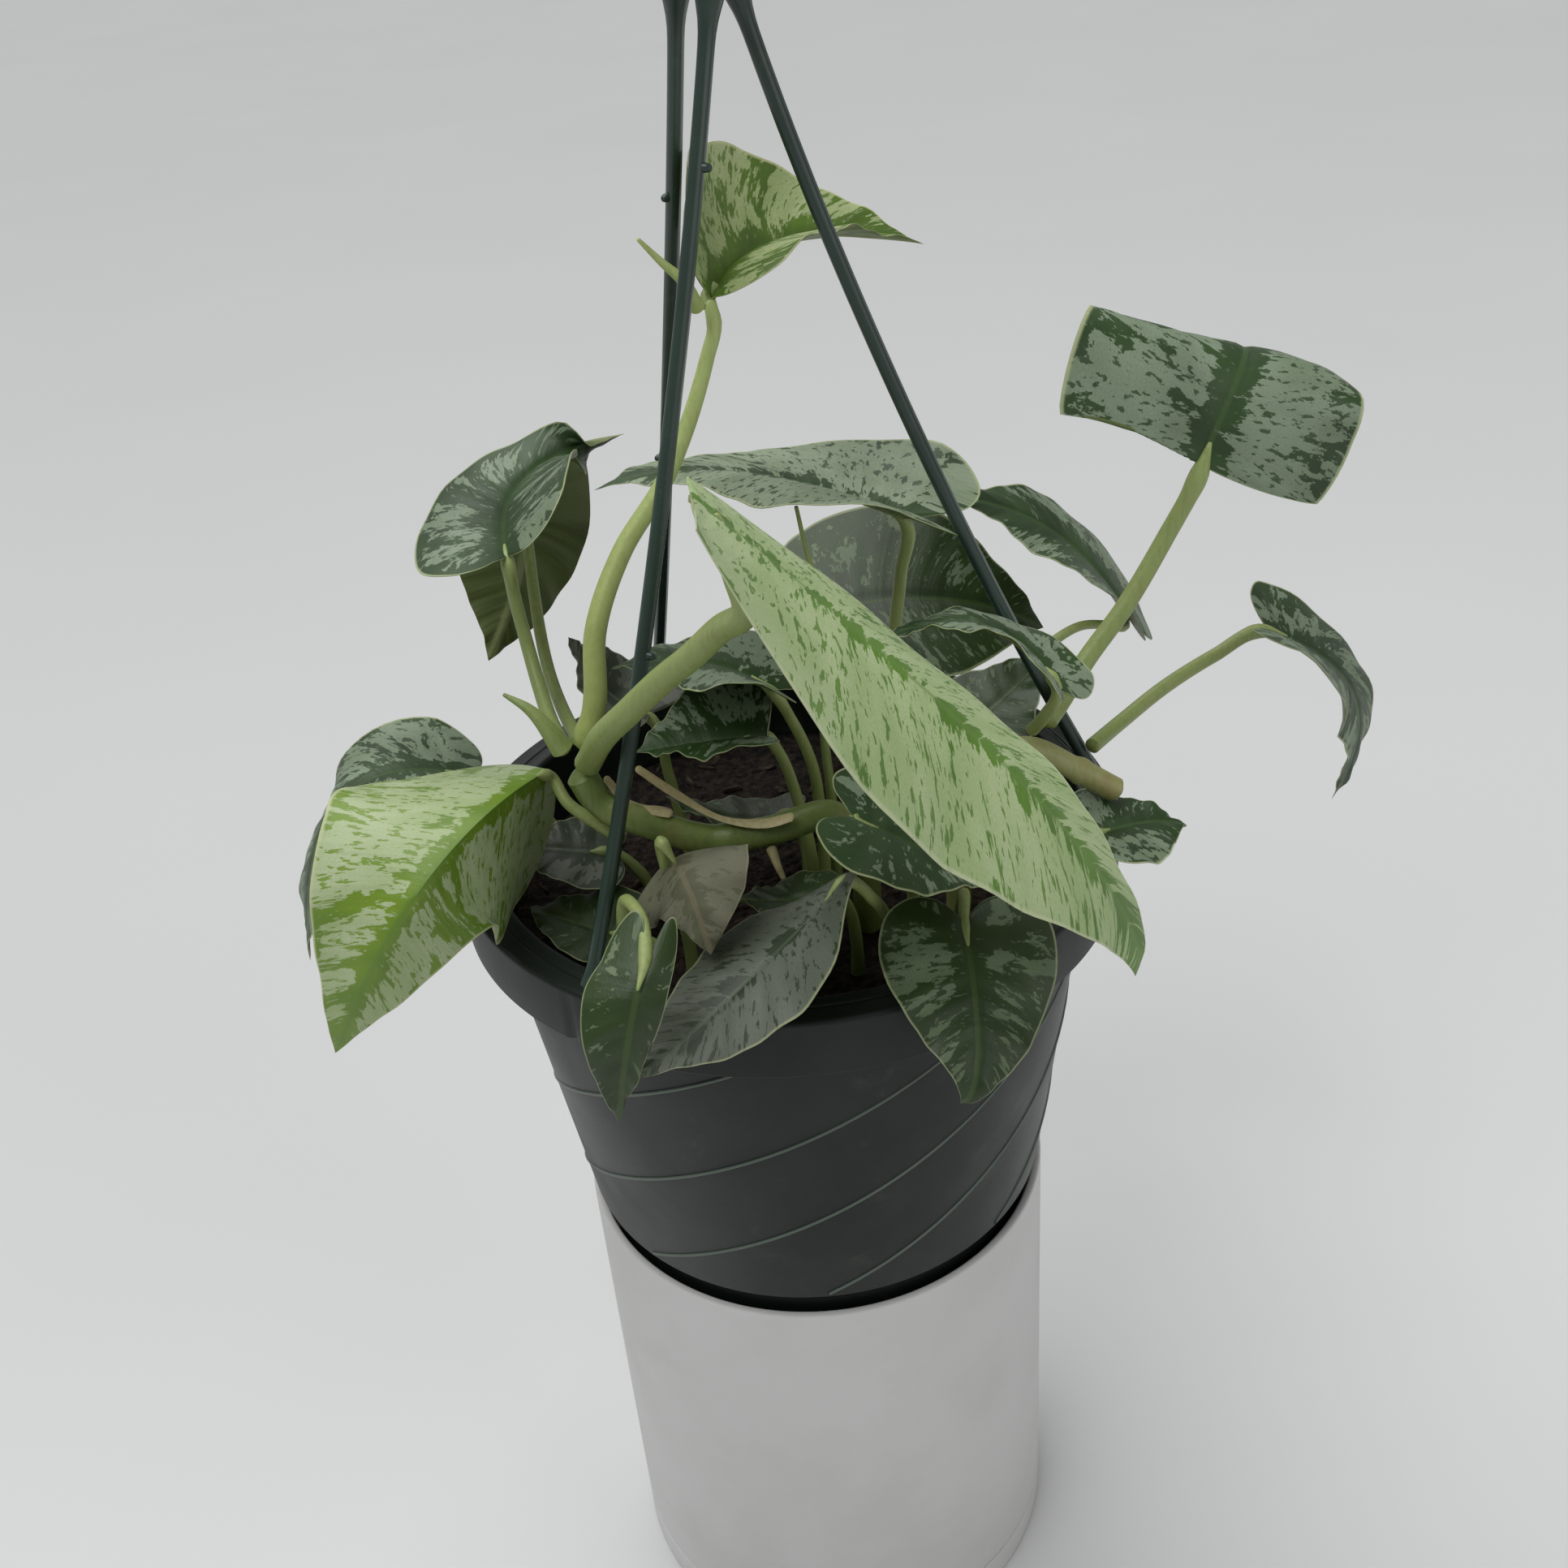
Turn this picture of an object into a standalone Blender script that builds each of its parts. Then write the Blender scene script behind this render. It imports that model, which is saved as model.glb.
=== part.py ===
# A satin pothos in a green hanging pot, which stands in the mouth of a white cover pot.
# Lengths are in millimetres and angles in degrees; a mesh is made in metres. Z is up, and
# the origin is the centre of the saucer's underside. Front is -Y.

import math

import bmesh
import bpy
import numpy as np
from mathutils import Matrix

MM = 0.001
GAP = 0.3  # between pieces that touch
SIDES = 48  # round a turned piece

# White cover pot and its saucer
PLANTER_RADIUS = 62.0
PLANTER_HEIGHT = 140.5
PLANTER_WALL = 2.3
PLANTER_FLOOR = 5.0
LIP_ROUND = 1.0
LEDGE_DROP = 9.0  # from the mouth down to the ledge that the green pot stands on
LEDGE_WIDTH = 6.0
LEDGE_THICKNESS = 7.0
SAUCER_HEIGHT = 10.5
SAUCER_WALL = 3.0
SAUCER_FLOOR = 3.2
FOOT_CLEARANCE = 1.5  # between the cover pot's foot and the saucer's wall

# Green hanging pot
RIM_RADIUS = 80.0
RIM_SKIRT = 14.2
RIM_WALL = 1.5
RIM_LEDGE = 9.0  # from the skirt's outside in to the mouth
POT_HEIGHT = 117.5
POT_WALL = 1.6
RIM_STEP = 7.0  # from the skirt's outside in to the pot's shoulder
POT_THROAT_STEP = 1.0  # from the wall in to the throat below the mouth
SEAT_CLEARANCE = 1.7  # between the pot's foot and the cover pot's mouth
RING_OVERHANG = 3.4  # of the ring that shows above the cover pot's mouth
RING_LIFT = 6.5
NOTCH_WIDTH = 2.0
NOTCH_DEPTH = 0.8
NOTCH_TURN = 4.0  # round from the front arm
SOIL_DROP = 17.0  # from the rim's top to the soil

# Three-armed hanger
ARM_AZIMUTHS = {"Front": -35.0, "Right": 85.0, "Back": -155.0}  # from the front towards +X
ARM_BOWS = {"Front": 3.4, "Right": 2.6, "Back": 4.6}  # how far an arm bulges outwards
ARM_RADIUS = 1.65
ARM_FOOT_INSET = 2.0
ARM_CURVE = 0.42  # how much faster than evenly an arm closes in at its foot
ARM_TOP_RADIUS = 7.2
ARM_STEPS = 14
HANGER_RISE = 180.0  # from the rim's top to the hub's underside
HUB_TWIST = 34.0  # of the hub about Z, so that the arms lean round
HUB_CENTRE = (-1.3, 0.2)
HUB_RADIUS = 9.6
HUB_THICKNESS = 8.0
HOOK_NECK = 9.0
HOOK_RADIUS = 9.0
HOOK_ROD = 2.2
HOOK_SWEEP = 250.0
HOOK_STEPS = 14

# Plant, drawn for a rim and a hanger of these sizes and grown with them: outwards with the rim,
# upwards with the hanger. Its heights start at the rim's top
DRAWN_RIM_RADIUS = 80.0
DRAWN_HANGER_RISE = 180.0
BLADE_THICKNESS = 0.8
BLADE_ROWS = 9
BLADE_SPANS = 2  # on each side of the midrib
STALK_SIDES = 6
VINE_SIDES = 8
STALK_RADII = (1.2, 1.5)  # at the blade and at the foot
STALK_BITE = 2.5  # how far a stalk runs in along the midrib
ROUTE_STEPS = 3  # between two points of a stalk or vine
VEIN_SWEEP = 1.4  # how side veins lean on towards the tip
SOIL_CLEARANCE = 0.4

# Levels and radii that follow
PLANTER_INSIDE = PLANTER_RADIUS - PLANTER_WALL
LEDGE_TOP = PLANTER_HEIGHT - LEDGE_DROP
POT_BOTTOM = LEDGE_TOP + GAP
POT_TOP = POT_BOTTOM + POT_HEIGHT
POT_FOOT_RADIUS = PLANTER_INSIDE - SEAT_CLEARANCE
POT_RING_RADIUS = POT_FOOT_RADIUS + RING_OVERHANG
RIM_MOUTH = RIM_RADIUS - RIM_LEDGE
SKIRT_BOTTOM = POT_TOP - RIM_SKIRT
RING_TOP = POT_BOTTOM + LEDGE_DROP + RING_LIFT
POT_SHOULDER_RADIUS = RIM_RADIUS - RIM_STEP
THROAT_RADIUS = POT_SHOULDER_RADIUS - POT_WALL - POT_THROAT_STEP
SOIL_TOP = POT_TOP - SOIL_DROP
GROWN_OUT = RIM_RADIUS / DRAWN_RIM_RADIUS
GROWN_UP = HANGER_RISE / DRAWN_HANGER_RISE
SOIL_LEVEL = (SOIL_TOP + SOIL_CLEARANCE - POT_TOP) / GROWN_UP  # as the plant's heights state it

# Half of a leaf's outline from notch to tip: where a side vein leaves the midrib and where it
# meets the margin, as shares of the leaf's length, and how far out, as a share of the half width
OUTLINE = (
    (0.00, -0.02, 0.00),
    (0.00, -0.12, 0.30),
    (0.01, -0.12, 0.66),
    (0.05, -0.01, 0.93),
    (0.14, 0.18, 1.00),
    (0.27, 0.40, 0.90),
    (0.44, 0.60, 0.66),
    (0.63, 0.77, 0.38),
    (0.82, 0.90, 0.15),
    (1.00, 1.00, 0.00),
)

# midrib: base, the point it bows towards, and tip. across: towards the leaf's right, seen from
# above with the tip ahead. half: half widths, left and right. fold and curl: degrees by which
# each side rises from the midrib and bends on to its margin, one value or base, middle and tip.
# lobe: how far each lobe reaches behind the notch, 1 for the outline's own. twist: about the
# midrib. stalk: from the blade down.
LEAVES = {
    "LeafTop": {
        "midrib": ((-6, 1, 126), (3, 46, 133), (43, 47, 121)),
        "across": (0.87, -0.34, -0.25),
        "half": (26, 20),
        "fold": ((50, 30, 25), (40, 25, 30)),
        "curl": ((50, 30, 10), 0),
        "lobe": (0.4, 0.4),
        "stalk": ((-7, 2, 125.5), (-7, 1, 124)),
    },
    "LeafSaddle": {
        "midrib": ((98, 4, 79), (118, 8, 124), (109, 56, 71)),
        "across": (0.94, -0.05, -0.3),
        "half": (37, 32),
        "fold": ((0, 0, 0), (5, 5, 0)),
        "curl": ((10, -20, -35), (-20, -30, -40)),
        "lobe": (0.3, 0.3),
        "stalk_radius": (1.9, 2.4),
        "stalk": (
            (98, 4, 77), (91, 4, 62), (81, 0, 47), (72, -4, 37), (65, -10, 30), (61, -15, 28),
        ),
    },
    "LeafFarRight": {
        "midrib": ((123, 23, 26), (160, 22, 9), (140, 14, -20)),
        "across": (-0.52, -0.8, 0.31),
        "half": (20, 23),
        "fold": ((20, 0, 5), (10, -5, -5)),
        "curl": (0, 0),
        "lobe": (0.5, 1.0),
        "stalk_radius": (1.6, 1.9),
        "stalk": ((121, 23, 26), (109, 20, 22), (95, 12, 19), (82, 2, 16), (73, -8, 16)),
    },
    "LeafRightArch": {
        "midrib": ((97, 61, 14), (83, 79, 39), (52, 67, 50)),
        "across": (-0.09, 0.93, 0.37),
        "half": (24, 24),
        "fold": ((10, 5, -10), (5, 5, 0)),
        "curl": ((15, 10, -10), (-20, -25, -30)),
        "lobe": (1.0, 1.0),
        "stalk": (
            (96, 60, 12), (90, 55, 15), (82, 50, 18), (66, 40, 13), (52, 30, -3), (49, 28, -12),
            (49, 28, SOIL_LEVEL),
        ),
    },
    "LeafRidge": {
        "midrib": ((33, 16, 68), (-10, 31, 85), (-37, 15, 81)),
        "across": (0.07, 1.0, -0.03),
        "half": (30, 29),
        "fold": ((25, 10, 5), (25, -10, -5)),
        "curl": ((-10, -15, -15), 0),
        "lobe": (1.4, 1.4),
        "stalk_radius": (1.5, 1.8),
        "stalk": ((33, 18, 66), (32, 20, 51), (30, 20, 36), (27, 14, 13), (24, 6, SOIL_LEVEL + 0.5)),
    },
    "LeafRound": {
        "midrib": ((13, 67, 21), (53, 68, 26), (77, 78, 4)),
        "across": (-0.32, -0.85, -0.42),
        "half": (33, 34),
        "fold": ((-5, 5, 5), 5),
        "curl": ((0, 10, 15), 15),
        "lobe": (1.0, 1.0),
        "stalk": ((13, 67, 19), (16, 58, 13), (18, 46, -4), (18, 43, SOIL_LEVEL)),
    },
    "LeafArch": {
        "midrib": ((60, -32, 46), (49, -17, 64), (24, -24, 57)),
        "across": (0.16, 0.97, -0.2),
        "half": (15, 14),
        "fold": ((10, 10, -5), (20, 5, 5)),
        "curl": ((-5, 0, -15), (10, -20, -20)),
        "lobe": (0.7, 0.8),
        "stalk": ((60, -31, 45), (58, -28, 37), (56, -23.5, 31)),
    },
    "LeafFront": {
        "midrib": ((-11, -79, 115), (70, -92, 39), (69, -73, -1)),
        "across": (-0.59, -0.65, 0.49),
        "half": (28, 32),
        "fold": ((-15, -10, -10), (10, -15, -10)),
        "curl": ((-5, -10, -10), (10, -30, -25)),
        "lobe": (0.0, 0.0),
        "stalk_radius": (2.5, 2.9),
        "stalk": (
            (-4, -79, 93), (-9, -71, 86), (-15, -65, 78), (-22, -59, 70), (-29, -55, 62),
            (-35, -49, 54), (-41, -38, 41),
        ),
    },
    "LeafUpperLeft": {
        "midrib": ((-56, -3, 75), (-66, 48, 78), (-31, 48, 82)),
        "across": (0.93, 0.36, 0.05),
        "half": (21, 24),
        "fold": (20, (45, 30, 25)),
        "curl": ((-45, -50, -35), 0),
        "lobe": (1.0, 0.9),
        "stalk_radius": (1.4, 1.8),
        "stalk": ((-56, -4, 73), (-56, -3, 65), (-55, -4, 55), (-53, -10, 47), (-50, -20, 42), (-47, -29, 41)),
    },
    "LeafHanging": {
        "midrib": ((-56, 44, 72), (-58, 46, 52), (-71, 32, 32)),
        "across": (0.85, 0.5, 0.1),
        "half": (21, 21),
        "fold": (10, 15),
        "curl": (0, 0),
        "lobe": (1.0, 1.0),
        "stalk_radius": (1.3, 1.6),
        "stalk": (
            (-56, 43, 75), (-56, 37, 73), (-56, 28, 58), (-53, 8, 42), (-47, -14, 38),
            (-44, -24, 39),
        ),
    },
    "LeafLeft": {
        "midrib": ((-76, 1, 18), (-109, -19, 44), (-116, -22, -16)),
        "across": (-0.32, 0.93, -0.2),
        "half": (23, 25),
        "fold": ((0, -5, -5), (15, 0, 10)),
        "curl": ((-10, -20, -15), (10, -30, -20)),
        "lobe": (0.9, 0.9),
        "stalk": ((-76, 1, 17), (-70, 4, 11), (-60, 7, 1), (-54, 8, SOIL_LEVEL)),
    },
    "LeafBright": {
        "midrib": ((-52, -26, 33), (-69, -87, 56), (-101, -64, -10)),
        "across": (-0.78, 0.1, 0.62),
        "half": (35, 37),
        "fold": ((-70, -45, -30), (-40, -35, -20)),
        "curl": (0, (-5, -10, 15)),
        "lobe": (0.9, 0.9),
        "stalk": ((-51, -27, 32), (-48, -30, 27), (-42, -32, 22), (-37, -33, 18)),
    },
    "LeafRimHeart": {
        "midrib": ((-30, -86, 23), (-34, -97, 16), (-39, -92, -11)),
        "across": (-0.98, -0.13, -0.15),
        "half": (6, 11),
        "fold": (-15, (-15, -15, -10)),
        "curl": (0, (-15, -15, -10)),
        "lobe": (2.2, 2.2),
        "stalk": ((-30, -86, 23), (-30, -77, 26), (-34, -65, 24), (-37, -56, 6), (-37, -52, SOIL_LEVEL)),
    },
    "LeafSilver": {
        "midrib": ((10, -63, 22), (-8, -74, 9), (-34, -91, -1)),
        "across": (0.68, 0.62, 0.38),
        "half": (21, 20),
        "fold": ((5, 5, 0), (4, 4, 2)),
        "curl": ((-10, -15, -20), (-6, -10, -15)),
        "lobe": (0.4, 0.4),
        "stalk": ((10, -63, 22), (17, -58, 13), (20, -50, -2), (20, -46, SOIL_LEVEL)),
    },
    "LeafWithered": {
        "midrib": ((-25, -52, 24), (-21, -66, 30), (-18, -70, 12)),
        "across": (-0.91, 0.06, -0.42),
        "half": (16, 15),
        "fold": (-10, -15),
        "curl": (-20, (-25, -30, -25)),
        "lobe": (0.5, 0.5),
        "stalk": ((-26, -56, 31), (-26, -52, 19), (-24, -48, 1), (-24, -46, SOIL_LEVEL)),
    },
    "LeafRimDark": {
        "midrib": ((35, -63, 9), (36, -96, -9), (30, -90, -16)),
        "across": (-0.96, -0.07, 0.27),
        "half": (20, 19),
        "fold": ((5, -5, 0), 0),
        "curl": ((-5, -20, -20), -10),
        "lobe": (1.2, 1.1),
        "stalk": ((35, -63, 8), (36, -56, 11), (36, -48, 1), (35, -42, SOIL_LEVEL)),
    },
    "LeafSpeckled": {
        "midrib": ((14, -59, 35), (29, -63, 27), (43, -65, 20)),
        "across": (-0.46, -0.86, 0.21),
        "half": (20, 20),
        "fold": (0, 5),
        "curl": ((10, 10, 15), (-10, -10, -15)),
        "lobe": (1.6, 1.6),
        "stalk": ((14, -59, 34), (21, -50, 29), (26, -44, 6), (27, -42, SOIL_LEVEL)),
    },
    "LeafLowRight": {
        "midrib": ((68, -32, 7), (85, -25, 7), (92, -24, 2)),
        "across": (0.19, -0.98, -0.02),
        "half": (15, 16),
        "fold": (5, (5, 0, 0)),
        "curl": (0, 0),
        "lobe": (1.0, 1.0),
        "stalk": ((68, -32, 7), (60, -30, 5), (52, -28, -5), (50, -27, SOIL_LEVEL)),
    },
    "LeafCentre": {
        "midrib": ((-1, -17, 44), (-17, -10, 53), (-36, -13, 50)),
        "across": (0.08, 0.98, -0.19),
        "half": (25, 25),
        "fold": ((15, 0, 0), (15, 0, 0)),
        "curl": (0, 0),
        "lobe": (1.5, 1.5),
        "stalk": ((-1, -17, 43), (3, -15, 34), (7, -13, 20), (8, -12, 5), (8, -12, SOIL_LEVEL)),
    },
    "LeafGrey": {
        "midrib": ((-31, 7, 27), (-43, 15, 27), (-48, 15, 45)),
        "across": (0.24, 0.97, -0.01),
        "half": (18, 18),
        "fold": ((5, 10, 10), 10),
        "curl": (0, 0),
        "lobe": (1.0, 1.0),
        "stalk": ((-31, 7, 26), (-28, 8, 9), (-25, 8, SOIL_LEVEL)),
    },
    "LeafLying": {
        "midrib": ((-3, -23, 35), (-16, -21, 35), (-32, -25, 35)),
        "across": (-0.25, 0.94, -0.25),
        "half": (17, 18),
        "fold": ((10, 0, 0), 45),
        "curl": (0, 0),
        "lobe": (1.0, 0.2),
        "stalk": ((-3, -21, 34), (-1, -20, 30), (3, -20, 15), (5, -21, 0), (5, -21, SOIL_LEVEL)),
    },
    "LeafInnerLeft": {
        "midrib": ((-38, -35, -8), (-52, -32, -4), (-62, -22, -6)),
        "across": (0.38, 0.92, 0.1),
        "half": (11, 14),
        "fold": (5, 5),
        "curl": (0, 0),
        "lobe": (1.0, 1.0),
        "stalk": ((-38, -35, -8), (-33, -34, -11), (-31, -34, -14), (-31, -34, SOIL_LEVEL)),
    },
    "LeafInnerGrey": {
        "midrib": ((-42, -14, 2), (-55, -14, 4), (-65, -8, 3)),
        "across": (0.16, 0.95, 0.25),
        "half": (12, 12),
        "fold": (5, 5),
        "curl": (0, 0),
        "lobe": (1.0, 1.0),
        "stalk": ((-42, -14, 2), (-36, -13, -5), (-34, -10, SOIL_LEVEL)),
    },
    "LeafNarrow": {
        "midrib": ((1, -12, 7), (-14, -13, 5), (-28, -10, 14)),
        "across": (-0.01, 1.0, -0.1),
        "half": (9, 10),
        "fold": (5, 5),
        "curl": (0, 0),
        "lobe": (1.0, 1.0),
        "stalk": ((1, -12, 7), (3, -13, 2), (4, -13, SOIL_LEVEL)),
    },
    "LeafUnderVine": {
        "midrib": ((8, -45, 8), (-3, -46, 5), (-14, -46, 9)),
        "across": (0.01, 1.0, -0.03),
        "half": (8, 8),
        "fold": (5, 5),
        "curl": (0, 0),
        "lobe": (0.8, 0.8),
        "stalk": ((9, -45, 7), (12, -44, 1), (13, -44, -6), (13, -44, SOIL_LEVEL)),
    },
    "LeafDeep": {
        "midrib": ((45, 25, 2), (61, 35, 8), (70, 35, 19)),
        "across": (0.51, -0.86, -0.11),
        "half": (16, 18),
        "fold": (5, 5),
        "curl": (0, 0),
        "lobe": (1.0, 1.0),
        "stalk": ((45, 25, 2), (42, 22, -7), (41, 21, SOIL_LEVEL)),
    },
}

VINES = {
    "VineMain": {
        "radii": (3.2, 3.4),
        "points": ((17, -27, SOIL_LEVEL + 1.0), (16, -31, 6), (10, -34, 20), (-4, -38, 20),
                   (-17, -39, 20), (-30, -38, 25), (-40, -36, 30), (-43, -36, 37)),
    },
    "VineTall": {
        "radii": (2.6, 1.9),
        "points": ((-42, -30, 41), (-39, -28, 49), (-37, -22, 64), (-30, -14, 78), (-20, -8, 90),
                   (-13, -3, 102), (-8, 0, 114), (-6, 0, 121)),
    },
    "VineRight": {
        "radii": (2.9, 3.0),
        "points": ((76, -20, 11), (66, -20, 18), (54, -20, 24), (44, -21, 18), (40, -22, 4),
                   (39, -22, SOIL_LEVEL)),
    },
    "ShootTip": {
        "radii": (1.6, 0.5),
        "points": ((-9, -3, 125), (-11, -6, 131), (-15, -8, 136), (-19, -9, 141)),
    },
    "Bud": {
        "radii": (2.6, 0.5),
        "points": ((-46, -36, 44), (-48, -36, 48), (-52, -34, 53), (-57, -32, 56)),
    },
    "Spear": {
        "radii": (0.6, 1.5),
        "points": ((8, 0, 79), (10, 0, 66), (13, 0, 56), (14, 0, 39), (11, -2, 28), (11, -6, 7),
                   (11, -7, SOIL_LEVEL)),
    },
    "RootNub": {
        "radii": (1.2, 0.6),
        "points": ((-4, -42, 18), (-3, -44, 15), (-2, -45, 12)),
    },
}


def material(name, colour, roughness, metallic=0.0):
    made = bpy.data.materials.new(name)
    made.use_nodes = True
    shader = made.node_tree.nodes["Principled BSDF"]
    shader.inputs["Base Color"].default_value = (*colour, 1.0)
    shader.inputs["Roughness"].default_value = roughness
    shader.inputs["Metallic"].default_value = metallic
    return made


def new_object(name, mesh, colour, roughness):
    mesh.materials.append(material(name, colour, roughness))
    made = bpy.data.objects.new(name, mesh)
    bpy.context.scene.collection.objects.link(made)
    return made


def mesh_from(name, points, faces):
    """A closed mesh from points in millimetres."""
    mesh = bpy.data.meshes.new(name)
    mesh.from_pydata([tuple(float(c) * MM for c in point) for point in points], [], faces)
    work = bmesh.new()
    work.from_mesh(mesh)
    bmesh.ops.recalc_face_normals(work, faces=work.faces)
    work.to_mesh(mesh)
    work.free()
    mesh.shade_smooth()
    mesh.set_sharp_from_angle(angle=math.radians(40))
    return mesh


def turned(name, profile):
    """A solid of revolution about Z; the profile is a list of (radius, height)."""
    work = bmesh.new()
    verts = [work.verts.new((radius * MM, 0.0, height * MM)) for radius, height in profile]
    edges = [work.edges.new(pair) for pair in zip(verts, verts[1:])]
    if profile[0][0] > 0:
        edges.append(work.edges.new((verts[-1], verts[0])))
    bmesh.ops.spin(work, geom=verts + edges, axis=(0, 0, 1), cent=(0, 0, 0), steps=SIDES,
                   angle=2 * math.pi, use_merge=True)
    bmesh.ops.remove_doubles(work, verts=work.verts, dist=0.001 * MM)
    bmesh.ops.recalc_face_normals(work, faces=work.faces)
    mesh = bpy.data.meshes.new(name)
    work.to_mesh(mesh)
    work.free()
    mesh.shade_smooth()
    mesh.set_sharp_from_angle(angle=math.radians(40))
    return mesh


def smooth_route(points, steps_between):
    """Points on a Catmull-Rom curve through the given ones."""
    given = np.array(points, float)
    ends = np.vstack([2 * given[0] - given[1], given, 2 * given[-1] - given[-2]])
    route = []
    for before, start, stop, after in zip(ends, ends[1:], ends[2:], ends[3:]):
        for step in range(steps_between):
            t = step / steps_between
            route.append(0.5 * (2 * start + (stop - before) * t
                                + (2 * before - 5 * start + 4 * stop - after) * t ** 2
                                + (3 * start - before - 3 * stop + after) * t ** 3))
    route.append(given[-1])
    return np.array(route)


def tube(route, radii, sides):
    """Points and faces of a capped tube; radii run evenly from the first to the last value."""
    route = np.array(route, float)
    ahead = np.gradient(route, axis=0)
    ahead /= np.linalg.norm(ahead, axis=1)[:, None]
    across = np.cross(ahead[0], (0.31, 0.95, 0.05))
    points = []
    for place, way, radius in zip(route, ahead, np.linspace(radii[0], radii[1], len(route))):
        across = across - way * (across @ way)
        across /= np.linalg.norm(across)
        up = np.cross(way, across)
        for side in range(sides):
            turn = 2 * math.pi * side / sides
            points.append(place + radius * (math.cos(turn) * across + math.sin(turn) * up))
    faces = [tuple(range(sides)), tuple(range(len(points) - 1, len(points) - 1 - sides, -1))]
    for ring in range(len(route) - 1):
        for side in range(sides):
            first = ring * sides + side
            second = ring * sides + (side + 1) % sides
            faces.append((first, first + sides, second + sides, second))
    return points, faces


def spread(value, along):
    """A size at a share of the leaf's length; value is one number or base, middle and tip."""
    values = (value,) * 3 if np.isscalar(value) else value
    return np.interp(along, (0.0, 0.5, 1.0), values)


def outline_rows():
    """The outline at the blade's rows, read from a smooth curve through its points."""
    through = smooth_route(OUTLINE, 6)
    places = np.linspace(0, len(through) - 1, BLADE_ROWS)
    return np.stack([np.interp(places, range(len(through)), column) for column in through.T], 1)


def blade_points(leaf):
    """The blade's middle surface as rows of points from notch to tip, left margin to right.

    The midrib is M(t) = (1-t)^2 base + 2t(1-t) bow + t^2 tip. A point at distance s out along
    a side vein turns by fold + curl s / half from the across direction.
    """
    base, bow, tip = np.array(leaf["midrib"], float)
    shares = np.linspace(0, 1, 61)[:, None]
    rib = base * (1 - shares) ** 2 + 2 * bow * shares * (1 - shares) + tip * shares ** 2
    travelled = np.concatenate([[0], np.cumsum(np.linalg.norm(np.diff(rib, axis=0), axis=1))])
    length = travelled[-1]
    way = np.gradient(rib, travelled, axis=0)
    rows = []
    for vein, margin, width in outline_rows():
        row = []
        for span in range(-BLADE_SPANS, BLADE_SPANS + 1):
            out = abs(span) / BLADE_SPANS
            side = int(span > 0)
            reach = margin * leaf["lobe"][side] if margin < 0 else margin
            along = length * (vein + (reach - vein) * out ** VEIN_SWEEP)
            held = min(max(along, 0.0), length)
            forward = np.array([np.interp(held, travelled, way[:, axis]) for axis in range(3)])
            forward /= np.linalg.norm(forward)
            place = np.array([np.interp(held, travelled, rib[:, axis]) for axis in range(3)])
            place = place + forward * (along - held)
            across = np.array(leaf["across"], float)
            across -= forward * (forward @ across)
            across /= np.linalg.norm(across)
            above = np.cross(across, forward)
            twist = math.radians(spread(leaf.get("twist", 0.0), held / length))
            across, above = (across * math.cos(twist) + above * math.sin(twist),
                             above * math.cos(twist) - across * math.sin(twist))
            fold = math.radians(spread(leaf["fold"][side], held / length))
            curl = math.radians(spread(leaf["curl"][side], held / length)) + 1e-6
            bend = curl / leaf["half"][side]
            distance = max(width, 0.0) * leaf["half"][side] * out
            level = (math.sin(fold + bend * distance) - math.sin(fold)) / bend
            raised = (math.cos(fold) - math.cos(fold + bend * distance)) / bend
            row.append(place + math.copysign(level, span) * across + raised * above)
        rows.append(row)
    return np.array(rows)


def blade_mesh(name, leaf):
    """The blade as a closed plate: both faces, joined round the margin and at both ends."""
    middle = blade_points(leaf)
    down = np.gradient(middle, axis=0)
    over = np.gradient(middle, axis=1)
    normal = np.cross(down, over)
    normal[0] = normal[1].mean(axis=0)
    normal[-1] = normal[-2].mean(axis=0)
    normal /= np.linalg.norm(normal, axis=2)[:, :, None]
    rows, columns = middle.shape[:2]
    points = []
    index = {}
    for face, offset in enumerate((0.5, -0.5)):
        shifted = middle + normal * offset * BLADE_THICKNESS
        for row in range(rows):
            for column in range(columns):
                if row in (0, rows - 1) and column:
                    index[face, row, column] = index[face, row, 0]
                    continue
                index[face, row, column] = len(points)
                points.append(shifted[row, column if 0 < row < rows - 1 else 0])
    faces = []

    def add(corners):
        kept = list(dict.fromkeys(corners))
        if len(kept) > 2:
            faces.append(tuple(kept))

    for row in range(rows - 1):
        for column in range(columns - 1):
            for face in (0, 1):
                add([index[face, row, column], index[face, row + 1, column],
                     index[face, row + 1, column + 1], index[face, row, column + 1]])
        for column in (0, columns - 1):
            add([index[0, row, column], index[0, row + 1, column],
                 index[1, row + 1, column], index[1, row, column]])
    return mesh_from(name, plant_points(points), faces)


def plant_points(points):
    """From the plant's own measure, whose heights start at the rim's top, to the whole object's."""
    return np.array(points, float) * (GROWN_OUT, GROWN_OUT, GROWN_UP) + (0.0, 0.0, POT_TOP)


def add_leaf(name, leaf):
    blade = new_object(name, blade_mesh(name, leaf), (0.25, 0.36, 0.17), 0.55)
    base, bow = np.array(leaf["midrib"], float)[:2]
    inside = base + (bow - base) * STALK_BITE / np.linalg.norm(bow - base)
    route = smooth_route([tuple(inside)] + list(leaf["stalk"]), ROUTE_STEPS)
    points, faces = tube(route, leaf.get("stalk_radius", STALK_RADII), STALK_SIDES)
    stalk = bpy.data.objects.new(name + "Stalk", mesh_from(name + "Stalk", plant_points(points), faces))
    bpy.context.scene.collection.objects.link(stalk)
    stalk.hide_render = True
    stalk.display_type = "WIRE"
    join = blade.modifiers.new("Stalk", "BOOLEAN")
    join.operation = "UNION"
    join.solver = "EXACT"
    join.object = stalk


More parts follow.
